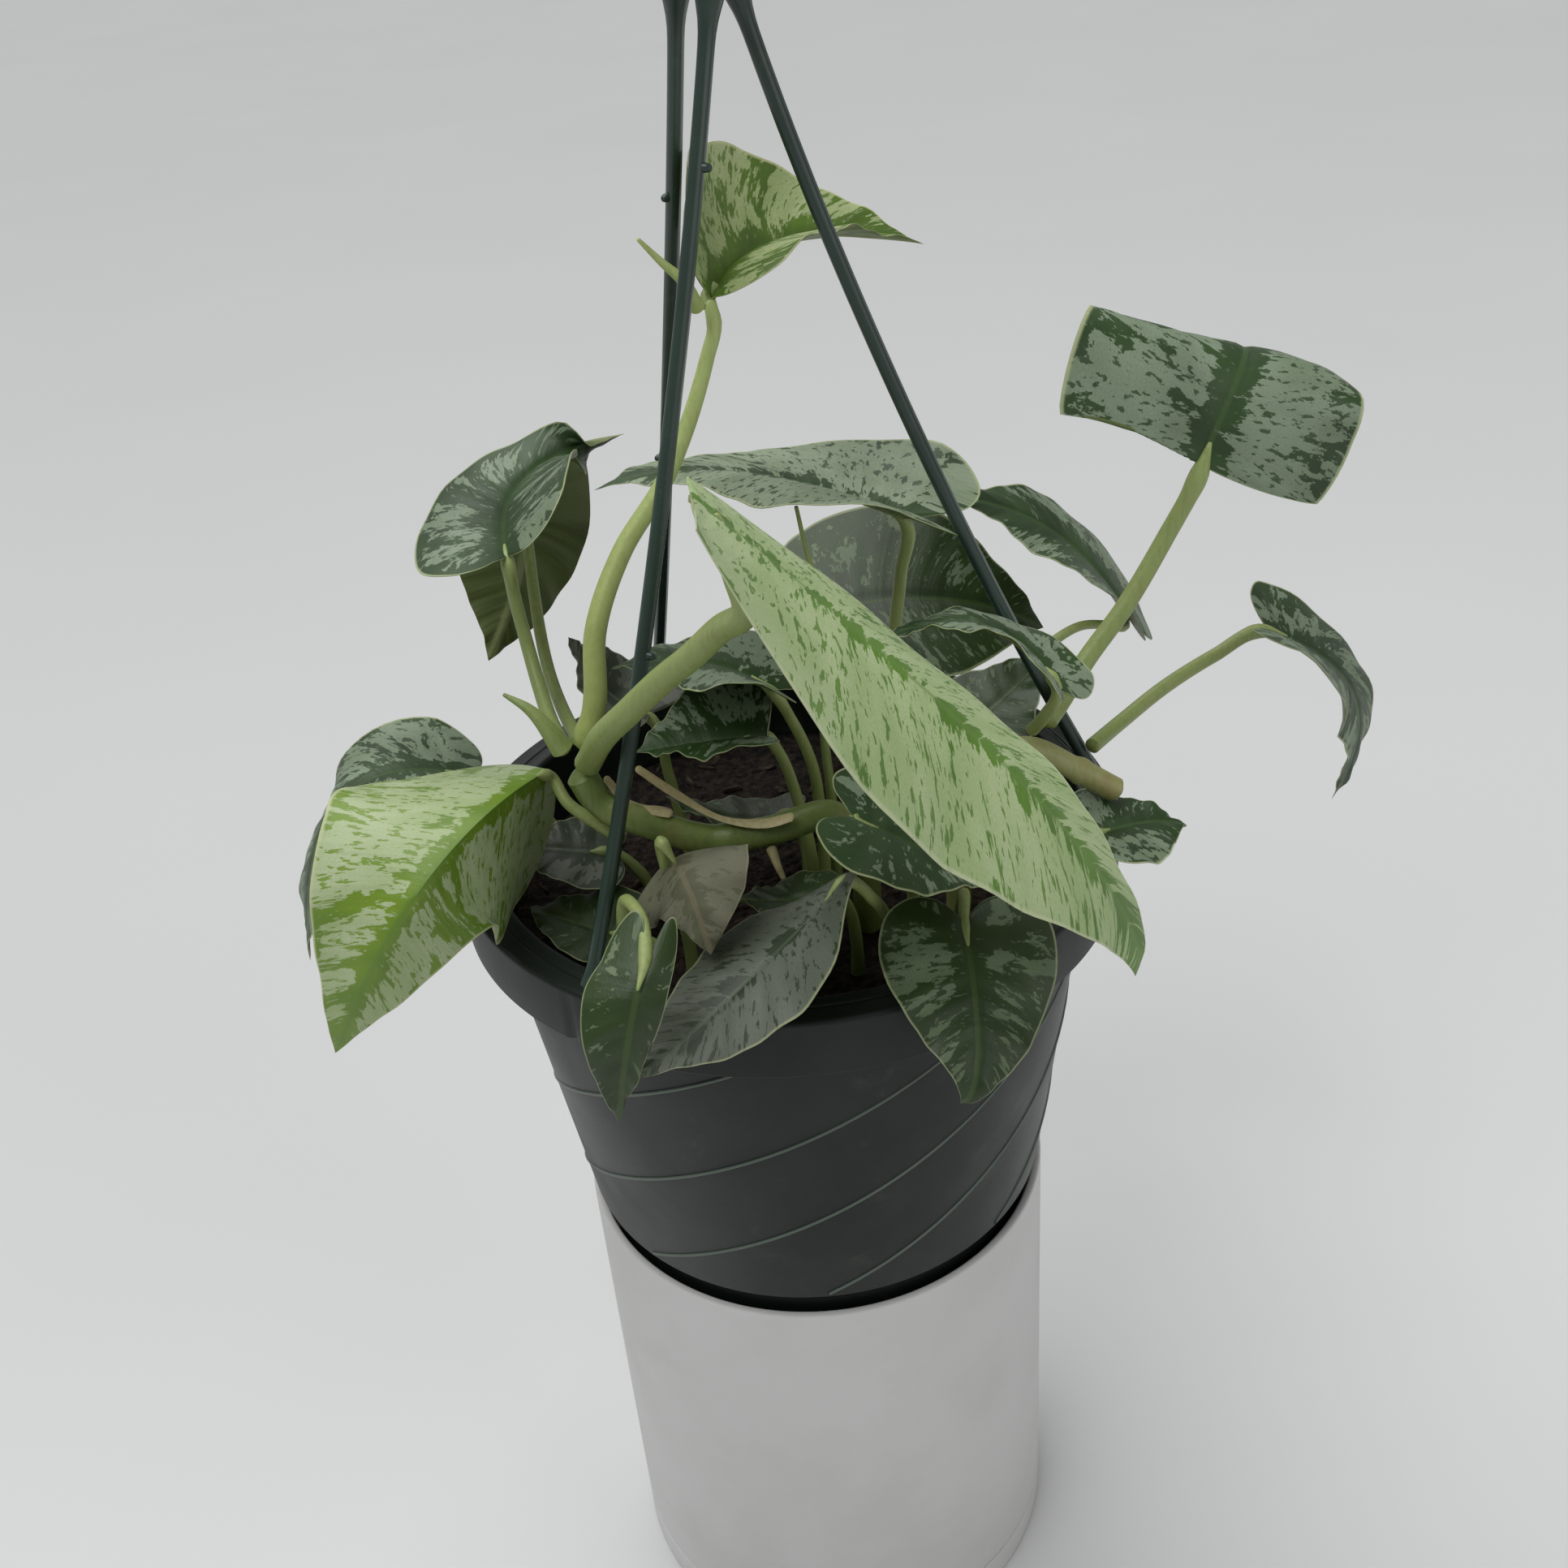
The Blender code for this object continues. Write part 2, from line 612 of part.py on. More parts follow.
def add_vine(name, vine):
    points, faces = tube(smooth_route(vine["points"], ROUTE_STEPS), vine["radii"], VINE_SIDES)
    new_object(name, mesh_from(name, plant_points(points), faces), (0.32, 0.40, 0.14), 0.5)


def add_saucer():
    inside = PLANTER_RADIUS - SAUCER_WALL
    new_object("Saucer", turned("Saucer", [
        (0, 0),
        (PLANTER_RADIUS - LIP_ROUND, 0),
        (PLANTER_RADIUS, LIP_ROUND),
        (PLANTER_RADIUS, SAUCER_HEIGHT),
        (inside, SAUCER_HEIGHT),
        (inside, SAUCER_FLOOR),
        (0, SAUCER_FLOOR),
    ]), (0.80, 0.80, 0.79), 0.5)


def add_planter():
    foot = PLANTER_RADIUS - SAUCER_WALL - FOOT_CLEARANCE
    bottom = SAUCER_FLOOR + GAP
    floor = bottom + PLANTER_FLOOR
    ledge = PLANTER_INSIDE - LEDGE_WIDTH
    new_object("Planter", turned("Planter", [
        (0, bottom),
        (foot, bottom),
        (foot, SAUCER_HEIGHT + GAP),
        (PLANTER_RADIUS, SAUCER_HEIGHT + GAP),
        (PLANTER_RADIUS, PLANTER_HEIGHT - LIP_ROUND),
        (PLANTER_RADIUS - PLANTER_WALL / 2, PLANTER_HEIGHT),
        (PLANTER_INSIDE, PLANTER_HEIGHT - LIP_ROUND),
        (PLANTER_INSIDE, LEDGE_TOP),
        (ledge, LEDGE_TOP),
        (ledge, LEDGE_TOP - LEDGE_THICKNESS),
        (PLANTER_INSIDE, LEDGE_TOP - LEDGE_THICKNESS - LEDGE_WIDTH),
        (PLANTER_INSIDE, SAUCER_HEIGHT + GAP + PLANTER_FLOOR),
        (foot - PLANTER_WALL, floor),
        (0, floor),
    ]), (0.80, 0.80, 0.79), 0.5)


def add_pot():
    floor = POT_BOTTOM + POT_WALL
    recess = POT_TOP - 2 * RIM_WALL
    pot = new_object("Pot", turned("Pot", [
        (0, POT_BOTTOM),
        (POT_FOOT_RADIUS, POT_BOTTOM),
        (POT_FOOT_RADIUS, RING_TOP - 2 * POT_WALL),
        (POT_RING_RADIUS, RING_TOP),
        (POT_SHOULDER_RADIUS, SKIRT_BOTTOM),
        (POT_SHOULDER_RADIUS, recess),
        (RIM_RADIUS - RIM_WALL, recess),
        (RIM_RADIUS - RIM_WALL, SKIRT_BOTTOM),
        (RIM_RADIUS, SKIRT_BOTTOM),
        (RIM_RADIUS, POT_TOP - LIP_ROUND),
        (RIM_RADIUS - LIP_ROUND, POT_TOP),
        (RIM_MOUTH, POT_TOP),
        (RIM_MOUTH - LIP_ROUND / 2, POT_TOP - LIP_ROUND / 2),
        (THROAT_RADIUS, SKIRT_BOTTOM - RIM_WALL),
        (POT_FOOT_RADIUS - POT_WALL, RING_TOP - POT_WALL),
        (POT_FOOT_RADIUS - POT_WALL, floor),
        (0, floor),
    ]), (0.035, 0.055, 0.045), 0.45)
    cut_notch(pot)
    return pot


def cut_notch(pot):
    """A slot down the outside of the skirt beside the front arm."""
    work = bmesh.new()
    bmesh.ops.create_cube(work, size=1.0)
    for vert in work.verts:
        vert.co.x *= NOTCH_WIDTH * MM
        vert.co.y *= 2 * NOTCH_DEPTH * MM
        vert.co.z *= 2 * (RIM_SKIRT - 2 * LIP_ROUND) * MM
    mesh = bpy.data.meshes.new("Notch")
    work.to_mesh(mesh)
    work.free()
    cutter = bpy.data.objects.new("Notch", mesh)
    bpy.context.scene.collection.objects.link(cutter)
    azimuth = math.radians(ARM_AZIMUTHS["Front"] - NOTCH_TURN)
    cutter.location = (RIM_RADIUS * math.sin(azimuth) * MM, -RIM_RADIUS * math.cos(azimuth) * MM,
                       SKIRT_BOTTOM * MM)
    cutter.rotation_euler = (0, 0, azimuth)
    cutter.hide_render = True
    cutter.display_type = "WIRE"
    cut = pot.modifiers.new("Notch", "BOOLEAN")
    cut.operation = "DIFFERENCE"
    cut.solver = "EXACT"
    cut.object = cutter


def add_soil():
    foot = POT_FOOT_RADIUS - POT_WALL - GAP
    wall = (foot + GAP, THROAT_RADIUS)
    top = np.interp(SOIL_TOP, (RING_TOP - POT_WALL, SKIRT_BOTTOM - RIM_WALL), wall) - 2 * GAP
    new_object("Soil", turned("Soil", [
        (0, POT_BOTTOM + POT_WALL + GAP),
        (foot, POT_BOTTOM + POT_WALL + GAP),
        (foot, RING_TOP - POT_WALL),
        (top, SOIL_TOP),
        (0, SOIL_TOP),
    ]), (0.03, 0.025, 0.02), 0.95)


def arm_route(azimuth, bow):
    """From the foot on the rim up to the hub, closing in faster at first."""
    low = math.radians(azimuth)
    high = math.radians(azimuth + HUB_TWIST)
    foot = np.array([math.sin(low), -math.cos(low)])
    top = np.array([math.sin(high), -math.cos(high)]) * ARM_TOP_RADIUS + HUB_CENTRE
    route = []
    for step in range(ARM_STEPS + 1):
        share = step / ARM_STEPS
        fall = 1.0 - (1.0 + ARM_CURVE) * share + ARM_CURVE * share ** 2
        place = foot * (RIM_RADIUS - ARM_FOOT_INSET) * fall + top * (1.0 - fall)
        place = place + foot * bow * math.sin(math.pi * share)
        route.append((place[0], place[1], POT_TOP + GAP + (HANGER_RISE - 3 * GAP) * share))
    return route


def add_arm(side):
    name = "Arm" + side
    route = arm_route(ARM_AZIMUTHS[side], ARM_BOWS[side])
    lifted = [(route[0][0], route[0][1], route[0][2] + ARM_RADIUS)] + route[1:]
    points, faces = tube(lifted, (ARM_RADIUS, ARM_RADIUS), VINE_SIDES)
    new_object(name, mesh_from(name, points, faces), (0.04, 0.09, 0.075), 0.4)


def add_hook():
    bottom = POT_TOP + HANGER_RISE
    neck = bottom + HUB_THICKNESS
    mesh = turned("HangerHook", [
        (0, bottom),
        (HUB_RADIUS - LIP_ROUND, bottom),
        (HUB_RADIUS, bottom + LIP_ROUND),
        (HUB_RADIUS, neck - 3 * LIP_ROUND),
        (HOOK_ROD, neck),
        (0, neck),
    ])
    mesh.transform(Matrix.Translation((HUB_CENTRE[0] * MM, HUB_CENTRE[1] * MM, 0)))
    hub = new_object("HangerHook", mesh, (0.04, 0.09, 0.075), 0.4)
    centre = neck + HOOK_NECK + HOOK_RADIUS
    route = [(0, neck - HUB_THICKNESS / 2), (0, neck + HOOK_NECK / 2)]
    for step in range(HOOK_STEPS + 1):
        turn = math.radians(-90 + HOOK_SWEEP * step / HOOK_STEPS)
        route.append((HOOK_RADIUS * math.cos(turn), centre + HOOK_RADIUS * math.sin(turn)))
    placed = [(x + HUB_CENTRE[0], HUB_CENTRE[1], z) for x, z in route]
    points, faces = tube(placed, (HOOK_ROD, HOOK_ROD), VINE_SIDES)
    rod = bpy.data.objects.new("HookRod", mesh_from("HookRod", points, faces))
    bpy.context.scene.collection.objects.link(rod)
    rod.hide_render = True
    rod.display_type = "WIRE"
    join = hub.modifiers.new("Rod", "BOOLEAN")
    join.operation = "UNION"
    join.solver = "EXACT"
    join.object = rod


def main():
    for old in list(bpy.data.objects):
        bpy.data.objects.remove(old)
    add_saucer()
    add_planter()
    add_pot()
    add_soil()
    for side in ARM_AZIMUTHS:
        add_arm(side)
    add_hook()
    for name, vine in VINES.items():
        add_vine(name, vine)
    for name, leaf in LEAVES.items():
        add_leaf(name, leaf)


main()
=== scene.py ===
import math

import bpy
import numpy as np
from mathutils import Matrix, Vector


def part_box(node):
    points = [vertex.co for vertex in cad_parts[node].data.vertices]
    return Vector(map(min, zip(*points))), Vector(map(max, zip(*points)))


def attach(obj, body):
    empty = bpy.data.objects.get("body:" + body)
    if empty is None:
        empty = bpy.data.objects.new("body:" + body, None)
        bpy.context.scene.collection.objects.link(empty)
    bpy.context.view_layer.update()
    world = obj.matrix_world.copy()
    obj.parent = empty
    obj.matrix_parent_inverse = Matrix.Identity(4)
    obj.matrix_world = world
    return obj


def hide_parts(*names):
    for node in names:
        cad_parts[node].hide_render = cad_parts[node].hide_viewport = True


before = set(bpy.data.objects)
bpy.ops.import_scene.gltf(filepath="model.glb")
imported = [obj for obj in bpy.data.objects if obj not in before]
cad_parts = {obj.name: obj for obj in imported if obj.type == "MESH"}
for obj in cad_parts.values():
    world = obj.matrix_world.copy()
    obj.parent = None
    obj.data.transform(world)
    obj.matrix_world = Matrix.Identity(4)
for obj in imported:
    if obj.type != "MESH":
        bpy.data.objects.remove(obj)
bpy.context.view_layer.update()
mm = 0.001
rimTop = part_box("Pot")[1][2] / mm  # the plant's heights start here
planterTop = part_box("Planter")[1][2] / mm
print("frame loaded")


# Shapes: arrays of points in millimetres

def unit(vectors):
    return vectors / np.maximum(np.linalg.norm(vectors, axis=-1, keepdims=True), 1e-12)


def smoothRoute(points, count):
    # cubic Hermite curve through the points; a tangent is the slope between both neighbours
    points = np.asarray(points, float)
    if len(points) == 2:
        share = np.linspace(0, 1, count)[:, None]
        return points[0] * (1 - share) + points[1] * share
    travelled = np.concatenate([[0], np.cumsum(np.linalg.norm(np.diff(points, axis=0), axis=1))])
    slope = np.gradient(points, travelled, axis=0)
    where = np.linspace(0, travelled[-1], count)
    part = np.clip(np.searchsorted(travelled, where, side="right") - 1, 0, len(points) - 2)
    span = (travelled[part + 1] - travelled[part])[:, None]
    s = (where[:, None] - travelled[part][:, None]) / span
    return ((2 * s**3 - 3 * s**2 + 1) * points[part] + (s**3 - 2 * s**2 + s) * slope[part] * span
            + (3 * s**2 - 2 * s**3) * points[part + 1] + (s**3 - s**2) * slope[part + 1] * span)


def gridFaces(rows, columns, start=0, wrap=False, flip=False):
    # quads between neighbours on a rows by columns grid, numbered row by row
    index = np.arange(rows * columns).reshape(rows, columns) + start
    if wrap:
        index = np.concatenate([index, index[:, :1]], axis=1)
    quads = np.stack([index[:-1, :-1], index[:-1, 1:], index[1:, 1:], index[1:, :-1]], axis=-1)
    quads = quads.reshape(-1, 4)
    return quads[:, ::-1] if flip else quads


def addPiece(name, points, faces, material, node=None, layers=None):
    mesh = bpy.data.meshes.new(name)
    points = np.asarray(points, float) * mm
    faceList = [tuple(int(i) for i in face) for face in faces]
    mesh.from_pydata(points.tolist(), [], faceList)
    mesh.materials.append(material)
    for layerName, values in (layers or {}).items():
        kind = "FLOAT_VECTOR" if np.ndim(values) == 2 else "FLOAT"
        layer = mesh.attributes.new(layerName, kind, "POINT")
        field = "vector" if kind == "FLOAT_VECTOR" else "value"
        layer.data.foreach_set(field, np.asarray(values, np.float32).ravel())
    mesh.polygons.foreach_set("use_smooth", np.ones(len(mesh.polygons), bool))
    mesh.set_sharp_from_angle(angle=math.radians(50))
    piece = bpy.data.objects.new(name, mesh)
    bpy.context.scene.collection.objects.link(piece)
    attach(piece, "root")
    if node:
        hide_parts(*([node] if isinstance(node, str) else node))
    return piece


def joined(parts):
    # several (points, faces, layers) as one mesh
    points, faces, layers, start = [], [], {}, 0
    for partPoints, partFaces, partLayers in parts:
        points.append(partPoints)
        faces += [tuple(int(i) + start for i in face) for face in partFaces]
        for key, values in partLayers.items():
            layers.setdefault(key, []).append(values)
        start += len(partPoints)
    return np.concatenate(points), faces, {k: np.concatenate(v) for k, v in layers.items()}


def routeFrames(route, hint=(0.31, 0.95, 0.05)):
    # direction of travel, and two directions across it that turn as little as they can
    ahead = unit(np.gradient(route, axis=0))
    side = np.cross(ahead[0], hint)
    sides = []
    for way in ahead:
        side = side - way * (side @ way)
        side = side / np.linalg.norm(side)
        sides.append(side)
    sides = np.array(sides)
    return ahead, sides, np.cross(ahead, sides)


def sweep(route, radii, sides=20, shape=None, hint=(0.31, 0.95, 0.05)):
    # ring point = route(s) + radius(s) * shape(s, angle) * (side cos angle + up sin angle), both
    # ends closed by a small ring and a centre point
    route = np.asarray(route, float)
    count = len(route)
    ahead, side, up = routeFrames(route, hint)
    radius = np.broadcast_to(np.asarray(radii, float), (count,))
    angle = np.linspace(0, 2 * math.pi, sides, endpoint=False)
    share = np.linspace(0, 1, count)
    factor = np.ones((count, sides)) if shape is None else shape(share[:, None], angle[None])
    reach = (radius[:, None] * factor)[..., None]
    rings = (route[:, None] + reach * (side[:, None] * np.cos(angle)[None, :, None]
                                       + up[:, None] * np.sin(angle)[None, :, None]))
    first = route[0] + (rings[0] - route[0]) * 0.55 - ahead[0] * radius[0] * 0.35
    last = route[-1] + (rings[-1] - route[-1]) * 0.55 + ahead[-1] * radius[-1] * 0.35
    rings = np.concatenate([first[None], rings, last[None]])
    points = rings.reshape(-1, 3)
    faces = [tuple(face) for face in gridFaces(count + 2, sides, wrap=True)]
    centres = np.array([route[0] - ahead[0] * radius[0] * 0.45,
                        route[-1] + ahead[-1] * radius[-1] * 0.45])
    total = len(points)
    lastRing = total - sides
    for step in range(sides):
        following = (step + 1) % sides
        faces.append((total, following, step))
        faces.append((total + 1, lastRing + step, lastRing + following))
    points = np.concatenate([points, centres])
    along = np.concatenate([np.repeat(np.r_[0, share, 1], sides), [0, 1]])
    return points, faces, {"along": along}


def turnedSurface(profile, segments):
    # point = (r(s) sin a, -r(s) cos a, z(s)) for profile (r, z) taken round the Z axis
    profile = np.asarray(profile, float)
    angle = np.linspace(0, 2 * math.pi, segments, endpoint=False)
    points = np.stack([profile[:, None, 0] * np.sin(angle)[None],
                       -profile[:, None, 0] * np.cos(angle)[None],
                       np.repeat(profile[:, 1:2], segments, axis=1)], axis=-1)
    return points, angle


def roundedProfile(corners, perCorner=5):
    # each corner (r, z, rounding) becomes an arc of a quadratic curve between points that far away
    places = np.array([corner[:2] for corner in corners], float)
    out = [places[0]]
    for before, here, after, corner in zip(places, places[1:], places[2:], corners[1:]):
        radius = corner[2]
        if radius <= 0:
            out.append(here)
            continue
        back = here + unit(before - here) * min(radius, 0.45 * np.linalg.norm(before - here))
        on = here + unit(after - here) * min(radius, 0.45 * np.linalg.norm(after - here))
        share = np.linspace(0, 1, perCorner)[:, None]
        out += list((1 - share) ** 2 * back + 2 * share * (1 - share) * here + share**2 * on)
    out.append(places[-1])
    return np.array(out)


def noiseOf(points, scale, seed):
    # smooth pseudo-noise between -1 and 1: a sum of sine waves in fixed random directions
    rng = np.random.default_rng(seed)
    total = np.zeros(points.shape[:-1])
    for octave in range(4):
        direction = rng.normal(size=(3,)) * (1.9 ** octave) / scale
        total += np.sin(points @ direction * 2 * math.pi + rng.uniform(0, 6.28)) / (1.5 ** octave)
    return total / 2.4


# Materials

def tone(red, green, blue):
    # a colour as a paint chart gives it (0 to 255) in the renderer's linear terms
    shares = (red / 255, green / 255, blue / 255)
    return tuple(((c + 0.055) / 1.055) ** 2.4 if c * 255 > 10 else c / 12.92 for c in shares) + (1.0,)


class Look:
    # one procedural material; its methods add nodes and return their outputs
    def __init__(self, name):
        self.material = bpy.data.materials.new(name)
        self.material.use_nodes = True
        self.nodes = self.material.node_tree.nodes
        self.links = self.material.node_tree.links
        self.shader = self.nodes["Principled BSDF"]

    def feed(self, socket, value):
        if isinstance(value, bpy.types.NodeSocket):
            self.links.new(value, socket)
        else:
            socket.default_value = value

    def objectPlace(self):
        return self.nodes.new("ShaderNodeTexCoord").outputs["Object"]

    def layer(self, name, output="Vector"):
        node = self.nodes.new("ShaderNodeAttribute")
        node.attribute_name = name
        return node.outputs[output]

    def placed(self, vector, scale=(1, 1, 1), shift=(0, 0, 0)):
        node = self.nodes.new("ShaderNodeMapping")
        node.inputs["Scale"].default_value = scale
        node.inputs["Location"].default_value = shift
        self.feed(node.inputs["Vector"], vector)
        return node.outputs["Vector"]

    def noise(self, vector, scale, detail=4.0, roughness=0.55, distortion=0.0):
        node = self.nodes.new("ShaderNodeTexNoise")
        self.feed(node.inputs["Vector"], vector)
        node.inputs["Scale"].default_value = scale
        node.inputs["Detail"].default_value = detail
        node.inputs["Roughness"].default_value = roughness
        node.inputs["Distortion"].default_value = distortion
        return node.outputs["Fac"]

    def cells(self, vector, scale, feature="F1"):
        node = self.nodes.new("ShaderNodeTexVoronoi")
        node.feature = feature
        self.feed(node.inputs["Vector"], vector)
        node.inputs["Scale"].default_value = scale
        return node.outputs["Distance"]

    def sums(self, operation, first, second=0.0, third=None):
        node = self.nodes.new("ShaderNodeMath")
        node.operation = operation
        self.feed(node.inputs[0], first)
        self.feed(node.inputs[1], second)
        if third is not None:
            self.feed(node.inputs[2], third)
        return node.outputs[0]

    def between(self, value, low, high, outLow=0.0, outHigh=1.0):
        node = self.nodes.new("ShaderNodeMapRange")
        node.interpolation_type = "SMOOTHSTEP"
        self.feed(node.inputs["Value"], value)
        node.inputs["From Min"].default_value = low
        node.inputs["From Max"].default_value = high
        node.inputs["To Min"].default_value = outLow
        node.inputs["To Max"].default_value = outHigh
        return node.outputs["Result"]

    def mixed(self, factor, first, second, blend="MIX"):
        node = self.nodes.new("ShaderNodeMix")
        node.data_type = "RGBA"
        node.blend_type = blend
        self.feed(node.inputs["Factor"], factor)
        self.feed(node.inputs["A"], first)
        self.feed(node.inputs["B"], second)
        return node.outputs["Result"]

    def axis(self, vector, name):
        node = self.nodes.new("ShaderNodeSeparateXYZ")
        self.feed(node.inputs["Vector"], vector)
        return node.outputs[name]

    def finish(self, colour, roughness, height=None, depth=0.2, strength=0.4, specular=0.5):
        self.feed(self.shader.inputs["Base Color"], colour)
        self.feed(self.shader.inputs["Roughness"], roughness)
        self.shader.inputs["Specular IOR Level"].default_value = specular
        if height is not None:
            bump = self.nodes.new("ShaderNodeBump")
            bump.inputs["Strength"].default_value = strength
            bump.inputs["Distance"].default_value = depth * mm
            self.feed(bump.inputs["Height"], height)
            self.links.new(bump.outputs["Normal"], self.shader.inputs["Normal"])
        return self.material


def leafMaterial(name, look):
    # the layer "vein" holds: where the side vein left the midrib (mm), how far out along it
    # (mm, left negative) and the share of the half width; "under" is 1 on the lower face
    made = Look(name)
    vein = made.layer("vein")
    out = made.sums("ABSOLUTE", made.axis(vein, "Y"))
    share = made.axis(vein, "Z")
    under = made.layer("under", "Fac")
    seed = look.get("seed", 0)
    shifted = made.placed(vein, (1, 1, 0), (seed * 37.7, seed * 11.3, seed))
    stretched = made.placed(shifted, (1.0, 0.42, 1.0))
    blotch = made.noise(stretched, look.get("blotch", 0.11), 2.0, 0.5, 0.6)
    torn = made.placed(shifted, (1.0, 0.26, 1.0))
    ragged = made.noise(torn, look.get("ragged", 0.42), 5.0, 0.62, 0.25)
    fleck = made.noise(made.placed(shifted, (1.0, 0.30, 1.0)), 1.05, 3.0, 0.55, 0.2)
    field = made.sums("MULTIPLY_ADD", ragged, 0.62, made.sums("MULTIPLY", blotch, 0.38))
    ribGreen = look.get("ribGreen", 1.5)
    nearRib = made.between(out, ribGreen, ribGreen * 1.6 + 3.5, -0.15, 0.0)
    nearEdge = made.between(share, 0.86, 0.96, 0.0, look.get("edgeGreen", -0.04))
    field = made.sums("ADD", field, made.sums("ADD", nearRib, nearEdge))
    cut = 0.5 - (look.get("cover", 0.5) - 0.5) * 0.34
    silverMask = made.between(field, cut - 0.004, cut + 0.010)
    greenFlecks = made.between(fleck, look.get("fleck", 0.585), look.get("fleck", 0.585) + 0.02)
    unflecked = made.sums("SUBTRACT", 1.0, made.sums("MULTIPLY", greenFlecks, 0.9))
    silverMask = made.sums("MULTIPLY", silverMask, unflecked)
    silverFlecks = made.sums("MULTIPLY", made.between(fleck, 0.36, 0.38, 1.0, 0.0), 0.75)
    offRib = made.between(out, ribGreen * 0.7, ribGreen * 1.3 + 1.0)
    silverFlecks = made.sums("MULTIPLY", silverFlecks, offRib)
    silverMask = made.sums("MAXIMUM", silverMask, silverFlecks)
    broad = made.noise(made.placed(shifted, (1, 0.6, 1)), 0.08, 2.0)
    fine = made.noise(shifted, 2.5, 3.0)
    tones = {key: tone(*look.get(key, spare)) for key, spare in (
        ("green", None), ("greenDeep", None), ("silver", None), ("silverDeep", None), ("under", None),
        ("underDeep", look["under"]), ("rib", look["green"]), ("edge", (176, 186, 140)),
        ("underRib", (150, 160, 110)))}
    green = made.mixed(made.between(broad, 0.35, 0.65), tones["green"], tones["greenDeep"])
    silver = made.mixed(made.between(broad, 0.3, 0.7), tones["silver"], tones["silverDeep"])
    silver = made.mixed(made.between(fine, 0.35, 0.75, 0.0, 0.25), silver, tones["green"])
    upper = made.mixed(silverMask, green, silver)
    ribLine = made.between(out, 0.35, 0.9, 0.55, 0.0)
    upper = made.mixed(ribLine, upper, tones["rib"])
    margin = made.between(share, 0.965, 0.99, 0.0, look.get("margin", 0.8))
    upper = made.mixed(margin, upper, tones["edge"])
    veins = made.noise(made.placed(shifted, (1.0, 0.06, 1.0)), 0.42, 2.0, 0.5)
    lower = made.mixed(made.between(veins, 0.42, 0.62), tones["under"], tones["underDeep"])
    lower = made.mixed(made.between(out, 0.5, 1.6, 0.6, 0.0), lower, tones["underRib"])
    colour = made.mixed(under, upper, lower)
    height = made.sums("MULTIPLY_ADD", veins, 0.7, made.sums("MULTIPLY", fine, 0.25))
    height = made.sums("MULTIPLY_ADD", silverMask, 0.12, height)
    gloss = look.get("gloss", 0.42)
    rough = made.between(silverMask, 0.0, 1.0, gloss, gloss + 0.1)
    return made.finish(colour, rough, height, depth=0.55, strength=0.55, specular=0.45)


def stemMaterial(name, look):
    made = Look(name)
    place = made.objectPlace()
    along = made.layer("along", "Fac")
    streak = made.noise(made.placed(place, (900, 900, 120)), 1.0, 3.0, 0.6)
    patch = made.noise(place, 90.0, 3.0)
    colour = made.mixed(along, tone(*look["start"]), tone(*look["end"]))
    colour = made.mixed(made.between(streak, 0.4, 0.7, 0.0, 0.35), colour, tone(*look["streak"]))
    browned = made.between(patch, 0.5, 0.75, 0.0, look.get("brown", 0.15))
    colour = made.mixed(browned, colour, tone(132, 108, 66))
    height = made.sums("ADD", streak, made.noise(place, 1500.0, 2.0))
    return made.finish(colour, look.get("gloss", 0.45), height, 0.2, 0.35)


def plasticMaterial(name, look):
    made = Look(name)
    place = made.objectPlace()
    cloud = made.noise(place, look.get("cloud", 25.0), 4.0)
    grain = made.noise(place, look.get("grain", 900.0), 2.0)
    colour = made.mixed(made.between(cloud, 0.35, 0.7), tone(*look["colour"]), tone(*look["shade"]))
    scratch = made.noise(made.placed(place, (40, 40, 900)), 1.0, 5.0, 0.7, 0.4)
    dust = made.between(made.noise(place, look["dustScale"], 6.0, 0.7), 0.56, 0.78, 0.0, look["dust"])
    colour = made.mixed(dust, colour, tone(*look["dustColour"]))
    scratched = made.between(scratch, 0.70, 0.74, 0.0, look["scratch"])
    colour = made.mixed(scratched, colour, tone(*look["scratchColour"]))
    # painted highlight: the raised ribs get a paler colour that stands in for the light catching them
    if "rib" in look:
        raised = made.sums("GREATER_THAN", made.layer("along", "Fac"), 0.001)
        colour = made.mixed(raised, colour, tone(*look["rib"]))
    rough = made.between(cloud, 0.3, 0.7, look["gloss"] - 0.05, look["gloss"] + 0.07)
    relief = made.sums("MULTIPLY_ADD", cloud, 1.5, grain)
    return made.finish(colour, rough, relief, 0.12, look.get("relief", 0.2), look.get("specular", 0.5))


print("tools ready")


# Pots and soil

mouldedGreen = plasticMaterial("MouldedGreen", dict(
    colour=(20, 29, 24), shade=(14, 21, 17), specular=0.32, gloss=0.42, dust=0.22,
    dustColour=(104, 110, 96), dustScale=45.0, scratch=0.25, scratchColour=(82, 94, 84), relief=0.25,
    # painted highlight: a paler green on the raised ribs for the light they catch
    rib=(92, 104, 94)))
hangerGreen = plasticMaterial("HangerGreen", dict(
    colour=(44, 62, 54), shade=(34, 50, 44), gloss=0.3, dust=0.15, dustColour=(120, 130, 112),
    dustScale=120.0, scratch=0.3, scratchColour=(120, 134, 120), relief=0.15))
matteWhite = plasticMaterial("MatteWhite", dict(
    colour=(208, 208, 207), shade=(203, 203, 201), gloss=0.55, dust=0.25, dustColour=(196, 195, 188),
    dustScale=14.0, scratch=0.12, scratchColour=(206, 205, 198), grain=1400.0, relief=0.12))

